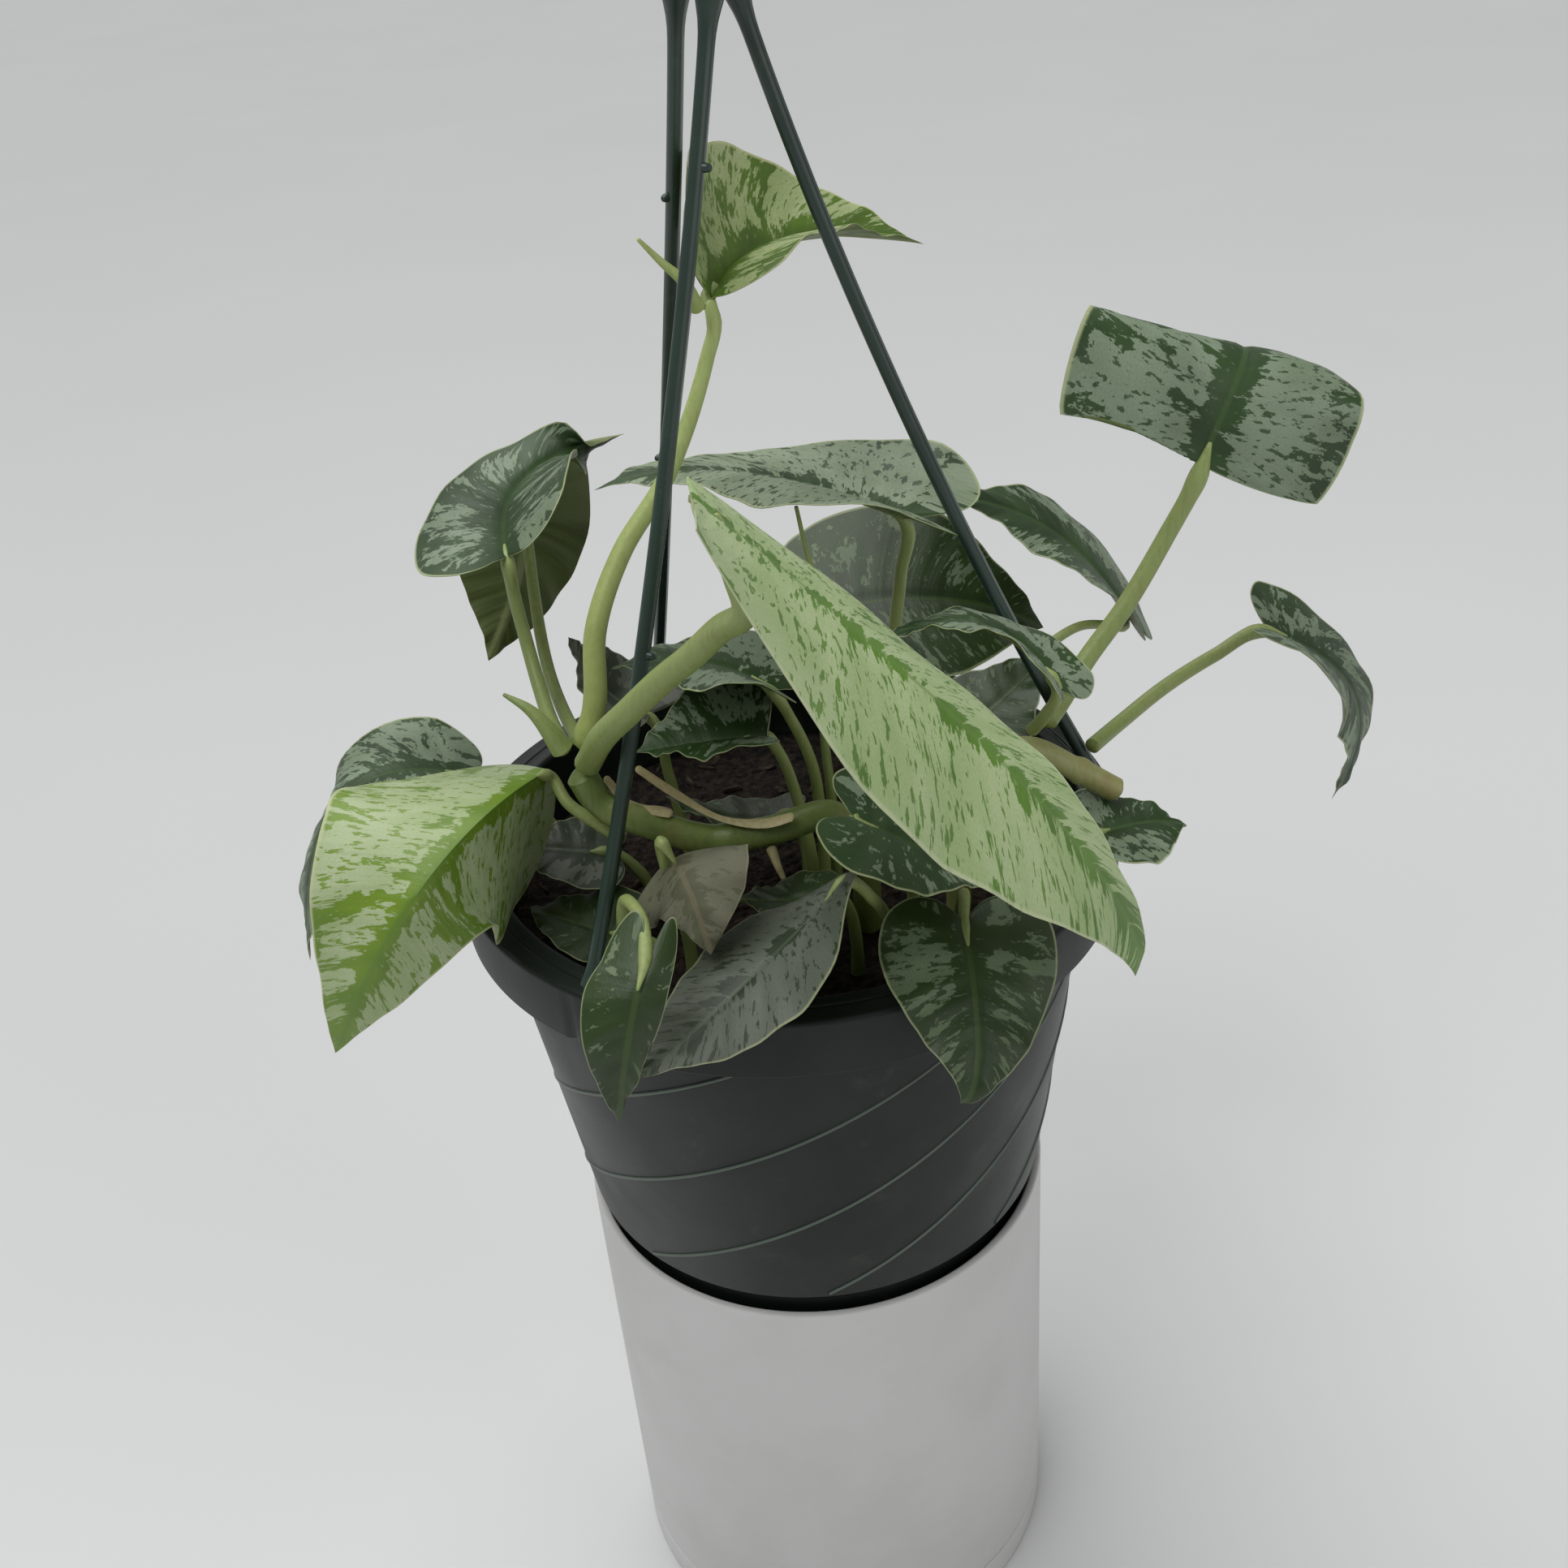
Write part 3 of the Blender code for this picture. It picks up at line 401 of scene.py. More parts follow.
planter = dict(radius=62.0, wall=2.3, foot=57.5, footBottom=3.5, floor=8.5, seam=10.8, ledge=53.7,
               ledgeTop=planterTop - 9.0, ledgeDepth=7.0)
saucer = dict(height=10.3, inside=59.0, floor=3.2)
pot = dict(rim=80.0, mouth=71.0, shoulder=73.0, throat=70.4, ring=61.4, ringHeight=147.0, foot=58.0,
           footTop=143.6, bottom=131.8, floor=1.6, inside=56.4, insideTop=145.4, skirt=14.2, fold=78.5,
           foldTop=3.0, groove=(75.6, 75.2, 74.6, 74.2), grooveDepth=0.45, notch=-39.0, notchDepth=0.8)
potRibs = dict(count=8, start=-56.8, lift=16.5, rise=0.66, radius=0.42)


def turnedPiece(corners, segments, change=None):
    # the turned surface of a rounded profile; an end on the axis is closed by a fan of triangles,
    # and a profile that ends off the axis is joined up into a ring
    profile = roundedProfile(corners)
    points, angle = turnedSurface(profile, segments)
    if change is not None:
        points = change(points, profile, angle)
    rows = len(profile)
    flat = points.reshape(-1, 3)
    faces = [tuple(face) for face in gridFaces(rows, segments, wrap=True)]
    middles = []
    if profile[0, 0] < 1.0:
        middles.append((0.0, 0.0, profile[0, 1]))
        centre = len(flat)
        faces += [(centre, (step + 1) % segments, step) for step in range(segments)]
    if profile[-1, 0] < 1.0:
        middles.append((0.0, 0.0, profile[-1, 1]))
        centre = len(flat) + len(middles) - 1
        first = (rows - 1) * segments
        faces += [(centre, first + step, first + (step + 1) % segments) for step in range(segments)]
    if profile[0, 0] >= 1.0:
        index = np.arange(segments)
        last = (rows - 1) * segments
        faces += [(last + a, last + (a + 1) % segments, (a + 1) % segments, a) for a in index.tolist()]
    flat = np.concatenate([flat, np.array(middles).reshape(-1, 3)])
    return flat, faces, {"along": np.zeros(len(flat))}


def outward(faces, points):
    # the faces of a closed surface, turned over if the volume they enclose comes out negative
    fans = np.array([(face[0], face[step], face[step + 1])
                     for face in faces for step in range(1, len(face) - 1)])
    first, second, third = np.asarray(points)[fans.T]
    volume = np.einsum("ij,ij->", first, np.cross(second, third))
    return [tuple(face)[::-1] for face in faces] if volume < 0 else faces


def together(parts):
    # several closed surfaces in one mesh, each with its faces outwards
    return joined([(points, outward(faces, points), layers) for points, faces, layers in parts])


def addTurned(name, corners, segments, material, node, change=None, more=()):
    points, faces, layers = together([turnedPiece(corners, segments, change), *more])
    return addPiece(name, points, faces, material, node, layers)


inside = planter["radius"] - planter["wall"]
addTurned("PlanterFine", [
    (0.5, planter["footBottom"], 0), (planter["foot"], planter["footBottom"], 1.0),
    (planter["foot"], planter["seam"], 0), (planter["radius"], planter["seam"], 0.5),
    (planter["radius"], planterTop, 0.9), (inside, planterTop, 0.9),
    (inside, planter["ledgeTop"], 0.4), (planter["ledge"], planter["ledgeTop"], 0.6),
    (planter["ledge"], planter["ledgeTop"] - planter["ledgeDepth"], 0.6),
    (inside, planter["ledgeTop"] - 13.0, 1.0), (inside, 17.0, 2.0), (55.0, planter["floor"], 2.0),
    (0.5, planter["floor"], 0)], 256, matteWhite, "Planter")
addTurned("SaucerFine", [
    (0.5, 0, 0), (planter["radius"], 0, 1.0), (planter["radius"], saucer["height"], 0.5),
    (saucer["inside"], saucer["height"], 0.5), (saucer["inside"], saucer["floor"], 1.0),
    (0.5, saucer["floor"], 0)], 256, matteWhite, "Saucer")


def moulded(points, profile, angle):
    # the notch is a dent r -= depth over a narrow range of azimuth, and the rim is not quite round:
    # r += 0.18 sin 3a
    azimuth = np.degrees(angle)[None, :]
    away = np.abs((azimuth - pot["notch"] + 180) % 360 - 180)
    skirt = ((profile[:, 0] > pot["fold"]) & (profile[:, 1] < rimTop - 2.2))[:, None]
    dent = -pot["notchDepth"] * skirt * np.clip(1.2 - away, 0, 1)
    rim = 0.18 * np.sin(3 * np.radians(azimuth)) * (profile[:, 0] > 72)[:, None]
    radius = np.hypot(points[..., 0], points[..., 1])
    grown = (radius + dent + rim) / radius
    return points * np.stack([grown, grown, np.ones_like(grown)], axis=-1)


# a rib climbs the tapering wall: azimuth = start + (z - 140.5) / rise, radius = the wall's
ribs = []
skirtBottom = rimTop - pot["skirt"]
for number in range(potRibs["count"]):
    height = np.linspace(pot["bottom"] + potRibs["lift"], skirtBottom + 0.4, 40)
    turn = potRibs["start"] + 360 / potRibs["count"] * number + (height - 140.5) / potRibs["rise"]
    wall = np.interp(height, (pot["ringHeight"], skirtBottom), (pot["ring"], pot["shoulder"]))
    turn = np.radians(turn)
    route = np.stack([wall * np.sin(turn), -wall * np.cos(turn), height], axis=1)
    ribs.append(sweep(route, potRibs["radius"], 8))

addTurned("PotFine", [
    (0.5, pot["bottom"], 0), (pot["foot"], pot["bottom"], 1.0), (pot["foot"], pot["footTop"], 1.0),
    (pot["ring"], pot["ringHeight"], 0.9), (pot["shoulder"], skirtBottom, 0.6),
    (pot["shoulder"], rimTop - pot["foldTop"], 0.5), (pot["fold"], rimTop - pot["foldTop"], 0.6),
    (pot["fold"] + 0.2, skirtBottom, 0.35), (pot["rim"], skirtBottom, 0.35),
    (pot["rim"] - 0.25, rimTop - 0.1, 1.3), (pot["groove"][0], rimTop, 0.5),
    (pot["groove"][1], rimTop - pot["grooveDepth"], 0.4),
    (pot["groove"][2], rimTop - pot["grooveDepth"], 0.4), (pot["groove"][3], rimTop, 0.4),
    (pot["mouth"], rimTop, 1.4), (pot["throat"], skirtBottom - 1.5, 1.0),
    (pot["inside"], pot["insideTop"], 1.0), (pot["inside"], pot["bottom"] + pot["floor"], 1.0),
    (0.5, pot["bottom"] + pot["floor"], 0)],
    480, mouldedGreen, "Pot", change=moulded, more=ribs)
print("pots")

soilLook = Look("Soil")
soilPlace = soilLook.objectPlace()
crumbs = soilLook.noise(soilPlace, 420.0, 6.0, 0.65)
grains = soilLook.cells(soilPlace, 380.0)
soilColour = soilLook.mixed(soilLook.between(crumbs, 0.35, 0.7), tone(14, 12, 10), tone(52, 42, 33))
grainMask = soilLook.between(grains, 0.05, 0.16, 0.35, 0.0)
soilColour = soilLook.mixed(grainMask, soilColour, tone(86, 72, 56))
soilMaterial = soilLook.finish(soilColour, 0.9, soilLook.sums("ADD", crumbs, grains), 2.0, 0.9, 0.2)
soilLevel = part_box("Soil")[1][2] / mm


def crumbled(points, profile, angle):
    # z += noise(x, y) on the top only
    top = (profile[:, 1] > soilLevel - 0.6)[:, None]
    rough = noiseOf(points, 9.0, 3) * 0.7 + noiseOf(points, 3.2, 4) * 0.4
    level = np.zeros_like(rough)
    return points + np.stack([level, level, rough * top - 0.5 * top], axis=-1)


soilRings = [(radius, soilLevel, 0) for radius in np.linspace(67.0, 0.5, 60)]
soilSide = [(0.5, 133.8, 0), (56.0, 133.8, 0), (56.0, 145.4, 0), (68.5, soilLevel - 1.0, 0)]
addTurned("SoilFine", soilSide + soilRings, 180, soilMaterial, "Soil", change=crumbled)

barkLook = Look("Bark")
barkPlace = barkLook.objectPlace()
barkGrain = barkLook.noise(barkLook.placed(barkPlace, (300, 900, 500)), 1.0, 5.0, 0.6)
barkDepth = barkLook.between(barkGrain, 0.3, 0.7)
barkColour = barkLook.mixed(barkDepth, tone(24, 20, 16), tone(66, 56, 44))
barkMaterial = barkLook.finish(barkColour, 0.85, barkGrain, 0.6, 0.7, 0.2)
bark = dict(count=150, within=66.0, edge=67.5, long=(2.0, 5.5), thick=(0.5, 1.2), tilt=0.25, seed=11)
chips = []
chipPlaces = np.random.default_rng(bark["seed"])
for chip in range(bark["count"]):
    away = bark["within"] * math.sqrt(chipPlaces.uniform(0, 1))
    turn = chipPlaces.uniform(0, 2 * math.pi)
    long = chipPlaces.uniform(*bark["long"])
    heading = chipPlaces.uniform(0, 2 * math.pi)
    middle = np.array([away * math.sin(turn), -away * math.cos(turn), soilLevel - 0.2])
    lean = chipPlaces.uniform(-bark["tilt"], bark["tilt"])
    reach = np.array([math.cos(heading), math.sin(heading), lean]) * long / 2
    if max(np.hypot(*(middle + reach)[:2]), np.hypot(*(middle - reach)[:2])) > bark["edge"]:
        continue
    thickness = chipPlaces.uniform(*bark["thick"])
    shape = lambda s, a: (0.75 + 0.3 * np.sin(2 * a + chip) * np.sin(math.pi * s)
                          + 0.1 * np.sin(5 * a + 9 * s))
    chips.append(sweep(np.linspace(middle - reach, middle + reach, 5), thickness, 7, shape))
chipPoints, chipFaces, chipLayers = together(chips)
addPiece("SoilChips", chipPoints, chipFaces, barkMaterial, None, chipLayers)
print("soil")


# Hanger

hanger = dict(rise=180.0, foot=78.0, top=7.2, centre=(-1.3, 0.2), twist=34.0, radius=1.7, nub=2.9)
hub = dict(radius=9.4, bottom=3.4, side=6.0, neck=4.2, top=9.0, hook=9.0, hookHeight=26.0, rod=2.2)
arms = {}
arms["ArmFront"] = dict(azimuth=-35.0, bow=3.4, nubs=(0.37, 0.86))
arms["ArmRight"] = dict(azimuth=85.0, bow=2.6, nubs=(0.24, 0.52, 0.86))
arms["ArmBack"] = dict(azimuth=-155.0, bow=4.6, nubs=(0.44, 0.80))


def armPlace(arm, share):
    # foot * fall + top * (1 - fall) + outward * bow * sin(pi s), fall = 1 - 1.42 s + 0.42 s^2
    low = math.radians(arm["azimuth"])
    high = math.radians(arm["azimuth"] + hanger["twist"])
    out = np.array([math.sin(low), -math.cos(low)])
    top = np.array([math.sin(high), -math.cos(high)]) * hanger["top"] + hanger["centre"]
    share = np.asarray(share, float)[:, None]
    fall = 1 - 1.42 * share + 0.42 * share**2
    flat = out * hanger["foot"] * fall + top * (1 - fall)
    flat = flat + out * arm["bow"] * np.sin(math.pi * share)
    return np.concatenate([flat, rimTop + 0.3 + (hanger["rise"] - 0.9) * share], axis=1)


for name, arm in arms.items():
    route = armPlace(arm, np.linspace(0.008, 1.03, 90))
    where = np.linspace(0, 1, 90)
    flare = 1 + 0.9 * np.exp(-((1 - where) / 0.028) ** 2) + 0.5 * np.exp(-(where / 0.012) ** 2)
    lens = lambda s, a: 1 - 0.10 * np.cos(2 * a) - 0.035 * np.cos(6 * a)
    parts = [sweep(route, hanger["radius"] * flare, 24, lens)]
    for share in arm["nubs"]:
        here, further = armPlace(arm, [share, share + 0.01])
        side = unit(np.cross(further - here, (here[0], here[1], 0.0)))
        nub = np.linspace(here - side * 0.4, here + side * hanger["nub"], 8)
        parts.append(sweep(nub, np.array([1.2, 1.2, 1.1, 1.05, 1.0, 0.95, 0.85, 0.6]), 12))
    armPoints, armFaces, armLayers = together(parts)
    addPiece(name + "Fine", armPoints, armFaces, hangerGreen, name, armLayers)

hubBottom = rimTop + hanger["rise"]
hubPoints, hubFaces, hubLayers = turnedPiece([
    (0.5, hubBottom + hub["bottom"], 0), (hub["radius"], hubBottom + hub["bottom"], 1.0),
    (hub["radius"], hubBottom + hub["side"], 1.6), (hub["neck"], hubBottom + 7.8, 1.0),
    (hub["rod"], hubBottom + hub["top"], 1.0), (0.5, hubBottom + hub["top"], 0)], 96)
hubCentre = (hanger["centre"][0], hanger["centre"][1], 0.0)
turn = np.radians(np.linspace(-90, 160, 60))
ring = np.stack([hub["hook"] * np.cos(turn), np.zeros(60),
                 hubBottom + hub["hookHeight"] + hub["hook"] * np.sin(turn)], axis=1)
shaft = np.linspace((0, 0, hubBottom + 4.0), (0, 0, hubBottom + 15.6), 14)
hookRoute = np.concatenate([shaft, ring]) + hubCentre
hook = sweep(smoothRoute(hookRoute, 110), hub["rod"], 24, lambda s, a: 1 - 0.06 * np.cos(2 * a))
hookPoints, hookFaces, hookLayers = together([(hubPoints + hubCentre, hubFaces, hubLayers), hook])
addPiece("HangerHookFine", hookPoints, hookFaces, hangerGreen, "HangerHook", hookLayers)
print("hanger")


# Stems

stemGreen = stemMaterial("StemGreen", dict(
    start=(136, 152, 88), end=(122, 140, 76), streak=(104, 122, 62)))
stemLime = stemMaterial("StemLime", dict(
    start=(150, 164, 92), end=(172, 188, 118), streak=(132, 148, 80), brown=0.12))
stemOlive = stemMaterial("StemOlive", dict(
    start=(92, 108, 50), end=(104, 122, 58), streak=(74, 88, 40), brown=0.4))
stemTan = stemMaterial("StemTan", dict(
    start=(150, 152, 98), end=(140, 146, 88), streak=(120, 122, 76), brown=0.5))
sheathTan = stemMaterial("SheathTan", dict(
    start=(140, 132, 92), end=(172, 162, 120), streak=(112, 98, 64), brown=0.5, gloss=0.6))

stems = {}
stems["VineMain"] = dict(
    points=((17, -27, -15.6), (16, -31, 6), (10, -34, 20), (-4, -38, 20), (-17, -39, 20),
            (-30, -38, 25), (-40, -36, 30), (-43, -36, 37)),
    radii=(3.2, 3.4), knots=(0.33, 0.62, 0.88), material=stemOlive)
stems["VineTall"] = dict(
    points=((-42, -30, 41), (-39, -28, 49), (-37, -22, 64), (-30, -14, 78), (-20, -8, 90),
            (-13, -3, 102), (-8, 0, 114), (-6, 0.5, 120), (-6.5, 1, 125)),
    radii=(2.7, 1.4), knots=(0.03, 0.96), material=stemLime)
stems["VineRight"] = dict(
    points=((76, -20, 11), (66, -20, 18), (54, -20, 24), (44, -21, 18), (40, -22, 4),
            (39, -22, -16.6)),
    radii=(2.9, 3.0), knots=(0.14, 0.42), material=stemTan)
stems["ShootTip"] = dict(
    points=((-9, -3, 125), (-11, -6, 131), (-15, -8, 136), (-19, -9, 141)),
    radii=(1.6, 0.4), knots=(), material=stemLime)
stems["Bud"] = dict(
    points=((-46, -36, 44), (-48, -36, 48), (-52, -34, 53), (-57, -32, 56)),
    radii=(2.6, 0.4), knots=(), material=stemGreen)
stems["Spear"] = dict(
    points=((8, 0, 79), (10, 0, 66), (13, 0, 56), (14, 0, 39), (11, -2, 28), (11, -6, 7),
            (11, -7, -16.6)),
    radii=(0.45, 1.5), knots=(), material=stemGreen)
stems["RootNub"] = dict(
    points=((-4, -42, 18), (-3, -44, 15), (-2, -45, 12)),
    radii=(1.2, 0.6), knots=(), material=sheathTan)

for name, stem in stems.items():
    route = smoothRoute(stem["points"], 70) + (0, 0, rimTop)
    share = np.linspace(0, 1, 70)
    radius = stem["radii"][0] + (stem["radii"][1] - stem["radii"][0]) * share
    for knot in stem["knots"]:
        swollen = 0.13 * np.exp(-((share - knot) / 0.018) ** 2)  # a ridge, then a slight waist
        radius = radius * (1 + swollen - 0.05 * np.exp(-((share - knot - 0.04) / 0.02) ** 2))
    grooved = lambda s, a: 1 + 0.025 * np.cos(3 * a + 2 * s) + 0.02 * np.sin(9 * s + a)
    points, faces, layers = sweep(route, radius, 24, grooved)
    addPiece(name + "Fine", points, outward(faces, points), stem["material"], name, layers)

# papery sheaths that lie along the main vine, flat strips swept with an oval section
sheaths = {}
sheaths["SheathLong"] = dict(
    points=((-31, -34.5, 36.5), (-23, -37, 30.5), (-13, -40, 25), (-4, -41, 24), (1, -41, 25)))
sheaths["SheathShort"] = dict(points=((-38, -35, 35), (-34, -37, 30), (-25, -38.5, 27)))
for name, sheath in sheaths.items():
    route = smoothRoute(sheath["points"], 50) + (0, 0, rimTop)
    width = 1.3 + 0.5 * np.sin(np.linspace(0, 9, 50)) * np.linspace(0.2, 1, 50)
    strip = lambda s, a: np.sqrt(1 / (np.cos(a) ** 2 / 0.12 + np.sin(a) ** 2))
    points, faces, layers = sweep(route, width, 16, strip)
    addPiece(name, points, outward(faces, points), sheathTan, None, layers)
print("stems")


# Leaves

satin = dict(
    green=(48, 74, 34), greenDeep=(34, 56, 24), silver=(132, 148, 124),
    silverDeep=(112, 128, 102), under=(100, 114, 64), underDeep=(82, 96, 48), rib=(64, 92, 44))
# partly the young top leaf's own brighter colour, partly painted light: the colours are raised to
# brighten an upper face that lies in shade
freshAndLit = dict(
    green=(92, 122, 36), greenDeep=(72, 100, 28), silver=(172, 184, 134),
    silverDeep=(150, 168, 110), under=(104, 120, 58), underDeep=(86, 102, 42), rib=(86, 116, 40),
    edge=(196, 200, 150))
# painted shade: darker copies of the satin leaf colours, for leaves that lie in shade behind or under
# other leaves and stems and inside the rim
darkInShade = dict(
    green=(42, 62, 22), greenDeep=(32, 50, 16), silver=(104, 120, 92), silverDeep=(84, 100, 70),
    under=(88, 102, 52), underDeep=(70, 84, 38), rib=(62, 84, 34), margin=0.5)
pale = dict(
    green=(92, 134, 34), greenDeep=(80, 118, 34), silver=(182, 198, 150),
    silverDeep=(160, 182, 126), under=(162, 170, 132), underDeep=(146, 156, 112),
    rib=(96, 130, 52), edge=(196, 204, 164))
bright = dict(
    green=(112, 142, 36), greenDeep=(96, 128, 30), silver=(176, 190, 150),
    silverDeep=(154, 172, 120), ragged=0.24, under=(162, 170, 130), underDeep=(146, 156, 112),
    rib=(96, 130, 44), edge=(190, 196, 150))
grey = dict(
    green=(50, 62, 44), greenDeep=(40, 52, 34), silver=(104, 110, 98), silverDeep=(84, 92, 78),
    ragged=0.26, under=(110, 120, 84), underDeep=(94, 106, 68), rib=(92, 106, 84), margin=0.5)
withered = dict(
    green=(88, 90, 66), greenDeep=(72, 72, 50), silver=(112, 112, 92), silverDeep=(92, 94, 74),
    under=(150, 142, 116), underDeep=(130, 120, 94), rib=(120, 110, 88), edge=(132, 128, 104),
    gloss=0.62)

leaves = {}
leaves["LeafTop"] = dict(
    midrib=((-6, 1, 126), (3, 46, 133), (43, 47, 121)),
    across=(0.87, -0.34, -0.25),
    half=(26, 20),
    fold=((50, 30, 25), (40, 25, 30)),
    curl=((50, 30, 10), 0),
    lobe=(0.4, 0.4),
    stalk=((-7, 2, 125.5), (-7, 1, 124)),
    look=dict(freshAndLit, cover=0.62, seed=1))
leaves["LeafSaddle"] = dict(
    midrib=((98, 4, 79), (118, 8, 124), (109, 56, 71)),
    across=(0.94, -0.05, -0.3),
    half=(37, 32),
    fold=((0, 0, 0), (5, 5, 0)),
    curl=((10, -20, -35), (-20, -30, -40)),
    lobe=(-0.3, 0.1),
    stalkRadius=(1.9, 2.4),
    stalk=((98, 4, 77), (91, 4, 62), (81, 0, 47), (72, -4, 37), (65, -10, 30), (61, -15, 28)),
    look=dict(satin, cover=0.66, seed=2, ribGreen=2.5))
leaves["LeafFarRight"] = dict(
    midrib=((123, 23, 26), (160, 22, 9), (140, 14, -20)),
    across=(-0.52, -0.8, 0.31),
    half=(20, 23),
    fold=((20, 0, 5), (10, -5, -5)),
    curl=(0, 0),
    lobe=(0.5, 1.0),
    stalkRadius=(1.6, 1.9),
    stalk=((121, 23, 26), (109, 20, 22), (95, 12, 19), (82, 2, 16), (73, -8, 16)),
    look=dict(satin, cover=0.55, seed=3))
leaves["LeafRightArch"] = dict(
    midrib=((97, 61, 14), (83, 79, 39), (52, 67, 50)),
    across=(-0.09, 0.93, 0.37),
    half=(24, 24),
    fold=((10, 5, -10), (5, 5, 0)),
    curl=((15, 10, -10), (-20, -25, -30)),
    lobe=(1.0, 1.0),
    stalk=((96, 60, 12), (90, 55, 15), (82, 50, 18), (66, 40, 13),
           (52, 30, -3), (49, 28, -12), (49, 28, -16.6)),
    look=dict(satin, cover=0.62, seed=4, ribGreen=4.5))
leaves["LeafRidge"] = dict(
    midrib=((33, 16, 68), (-10, 31, 85), (-37, 15, 81)),
    across=(0.07, 1.0, -0.03),
    half=(30, 29),
    fold=((25, 10, 5), (25, -10, -5)),
    curl=((-10, -15, -15), 0),
    lobe=(1.4, 1.4),
    stalkRadius=(1.5, 1.8),
    stalk=((33, 18, 66), (32, 20, 51), (30, 20, 36), (27, 14, 13), (24, 6, -16.6)),
    look=dict(satin, cover=0.8, seed=5, silver=(150, 164, 138), silverDeep=(128, 144, 114)))
leaves["LeafRound"] = dict(
    midrib=((13, 67, 21), (53, 68, 26), (77, 78, 4)),
    across=(-0.32, -0.85, -0.42),
    half=(33, 34),
    fold=((-5, 5, 5), 5),
    curl=((0, 10, 15), 15),
    lobe=(1.0, 1.0),
    stalk=((13, 67, 19), (16, 58, 13), (18, 46, -4), (18, 43, -16.6)),
    look=dict(darkInShade, cover=0.36, seed=6))
leaves["LeafArch"] = dict(
    midrib=((60, -32, 46), (49, -17, 64), (24, -24, 57)),
    across=(0.16, 0.97, -0.2),
    half=(15, 14),
    fold=((10, 10, -5), (20, 5, 5)),
    curl=((-5, 0, -15), (10, -20, -20)),
    lobe=(0.7, 0.8),
    stalk=((60, -31, 45), (58, -28, 37), (56, -23.5, 31)),
    look=dict(satin, cover=0.6, seed=7))
leaves["LeafFront"] = dict(
    midrib=((-11, -79, 115), (70, -92, 39), (69, -73, -1)),
    across=(-0.59, -0.65, 0.49),
    half=(28, 32),
    fold=((-15, -10, -10), (10, -15, -10)),
    curl=((-5, -10, -10), (10, -30, -25)),
    lobe=(0.0, 0.0),
    stalkRadius=(2.5, 2.9),
    stalk=((-4, -79, 93), (-9, -71, 86), (-15, -65, 78), (-22, -59, 70),
           (-29, -55, 62), (-35, -49, 54), (-41, -38, 41)),
    look=dict(pale, cover=0.82, seed=8, ribGreen=1.2))
leaves["LeafUpperLeft"] = dict(
    midrib=((-56, -3, 75), (-66, 48, 78), (-31, 48, 82)),
    across=(0.93, 0.36, 0.05),
    half=(21, 24),
    fold=(20, (45, 30, 25)),
    curl=((-45, -50, -35), 0),
    lobe=(1.0, 0.9),
    stalkRadius=(1.4, 1.8),
    stalk=((-56, -4, 73), (-56, -3, 65), (-55, -4, 55), (-53, -10, 47), (-50, -20, 42), (-47, -29, 41)),
    look=dict(satin, cover=0.45, seed=9))
leaves["LeafHanging"] = dict(
    midrib=((-56, 44, 72), (-58, 46, 52), (-71, 32, 32)),
    across=(0.85, 0.5, 0.1),
    half=(21, 21),
    fold=(10, 15),
    curl=(0, 0),
    lobe=(1.0, 1.0),
    stalkRadius=(1.3, 1.6),
    stalk=((-56, 43, 75), (-56, 37, 73), (-56, 28, 58), (-53, 8, 42), (-47, -14, 38), (-44, -24, 39)),
    look=dict(satin, cover=0.4, seed=10))
leaves["LeafLeft"] = dict(
    midrib=((-76, 1, 18), (-109, -19, 44), (-116, -22, -16)),
    across=(-0.32, 0.93, -0.2),
    half=(23, 25),
    fold=((0, -5, -5), (15, 0, 10)),
    curl=((-10, -20, -15), (10, -30, -20)),
    lobe=(0.9, 0.9),
    stalk=((-76, 1, 17), (-70, 4, 11), (-60, 7, 1), (-54, 8, -16.6)),
    look=dict(satin, cover=0.6, seed=11))
leaves["LeafBright"] = dict(
    midrib=((-52, -26, 33), (-69, -87, 56), (-101, -64, -10)),
    across=(-0.78, 0.1, 0.62),
    half=(35, 37),
    fold=((-70, -45, -30), (-40, -35, -20)),
    curl=(0, (-5, -10, 15)),
    lobe=(0.9, 0.9),
    stalk=((-51, -27, 32), (-48, -30, 27), (-42, -32, 22), (-37, -33, 18)),
    look=dict(bright, cover=0.66, seed=12, ribGreen=0.6))
leaves["LeafRimHeart"] = dict(
    midrib=((-30, -86, 23), (-34, -97, 16), (-39, -92, -11)),
    across=(-0.98, -0.13, -0.15),
    half=(6, 11),
    fold=(-15, (-15, -15, -10)),
    curl=(0, (-15, -15, -10)),
    lobe=(2.2, 2.2),
    stalk=((-30, -86, 23), (-30, -77, 26), (-34, -65, 24), (-37, -56, 6), (-37, -52, -16.6)),
    look=dict(darkInShade, cover=0.35, seed=13))
leaves["LeafSilver"] = dict(
    midrib=((10, -63, 22), (-8, -74, 9), (-34, -91, -1)),
    across=(0.68, 0.62, 0.38),
    half=(21, 20),
    fold=((5, 5, 0), (4, 4, 2)),
    curl=((-10, -15, -20), (-6, -10, -15)),
    lobe=(0.4, 0.4),
    stalk=((10, -63, 22), (17, -58, 13), (20, -50, -2), (20, -46, -16.6)),
    look=dict(grey, cover=1.0, seed=14))
leaves["LeafWithered"] = dict(
    midrib=((-25, -52, 24), (-21, -66, 30), (-18, -70, 12)),
    across=(-0.91, 0.06, -0.42),
    half=(16, 15),
    fold=(-10, -15),
    curl=(-20, (-25, -30, -25)),
    lobe=(0.5, 0.5),
    stalk=((-26, -56, 31), (-26, -52, 19), (-24, -48, 1), (-24, -46, -16.6)),
    look=dict(withered, cover=0.8, seed=15))
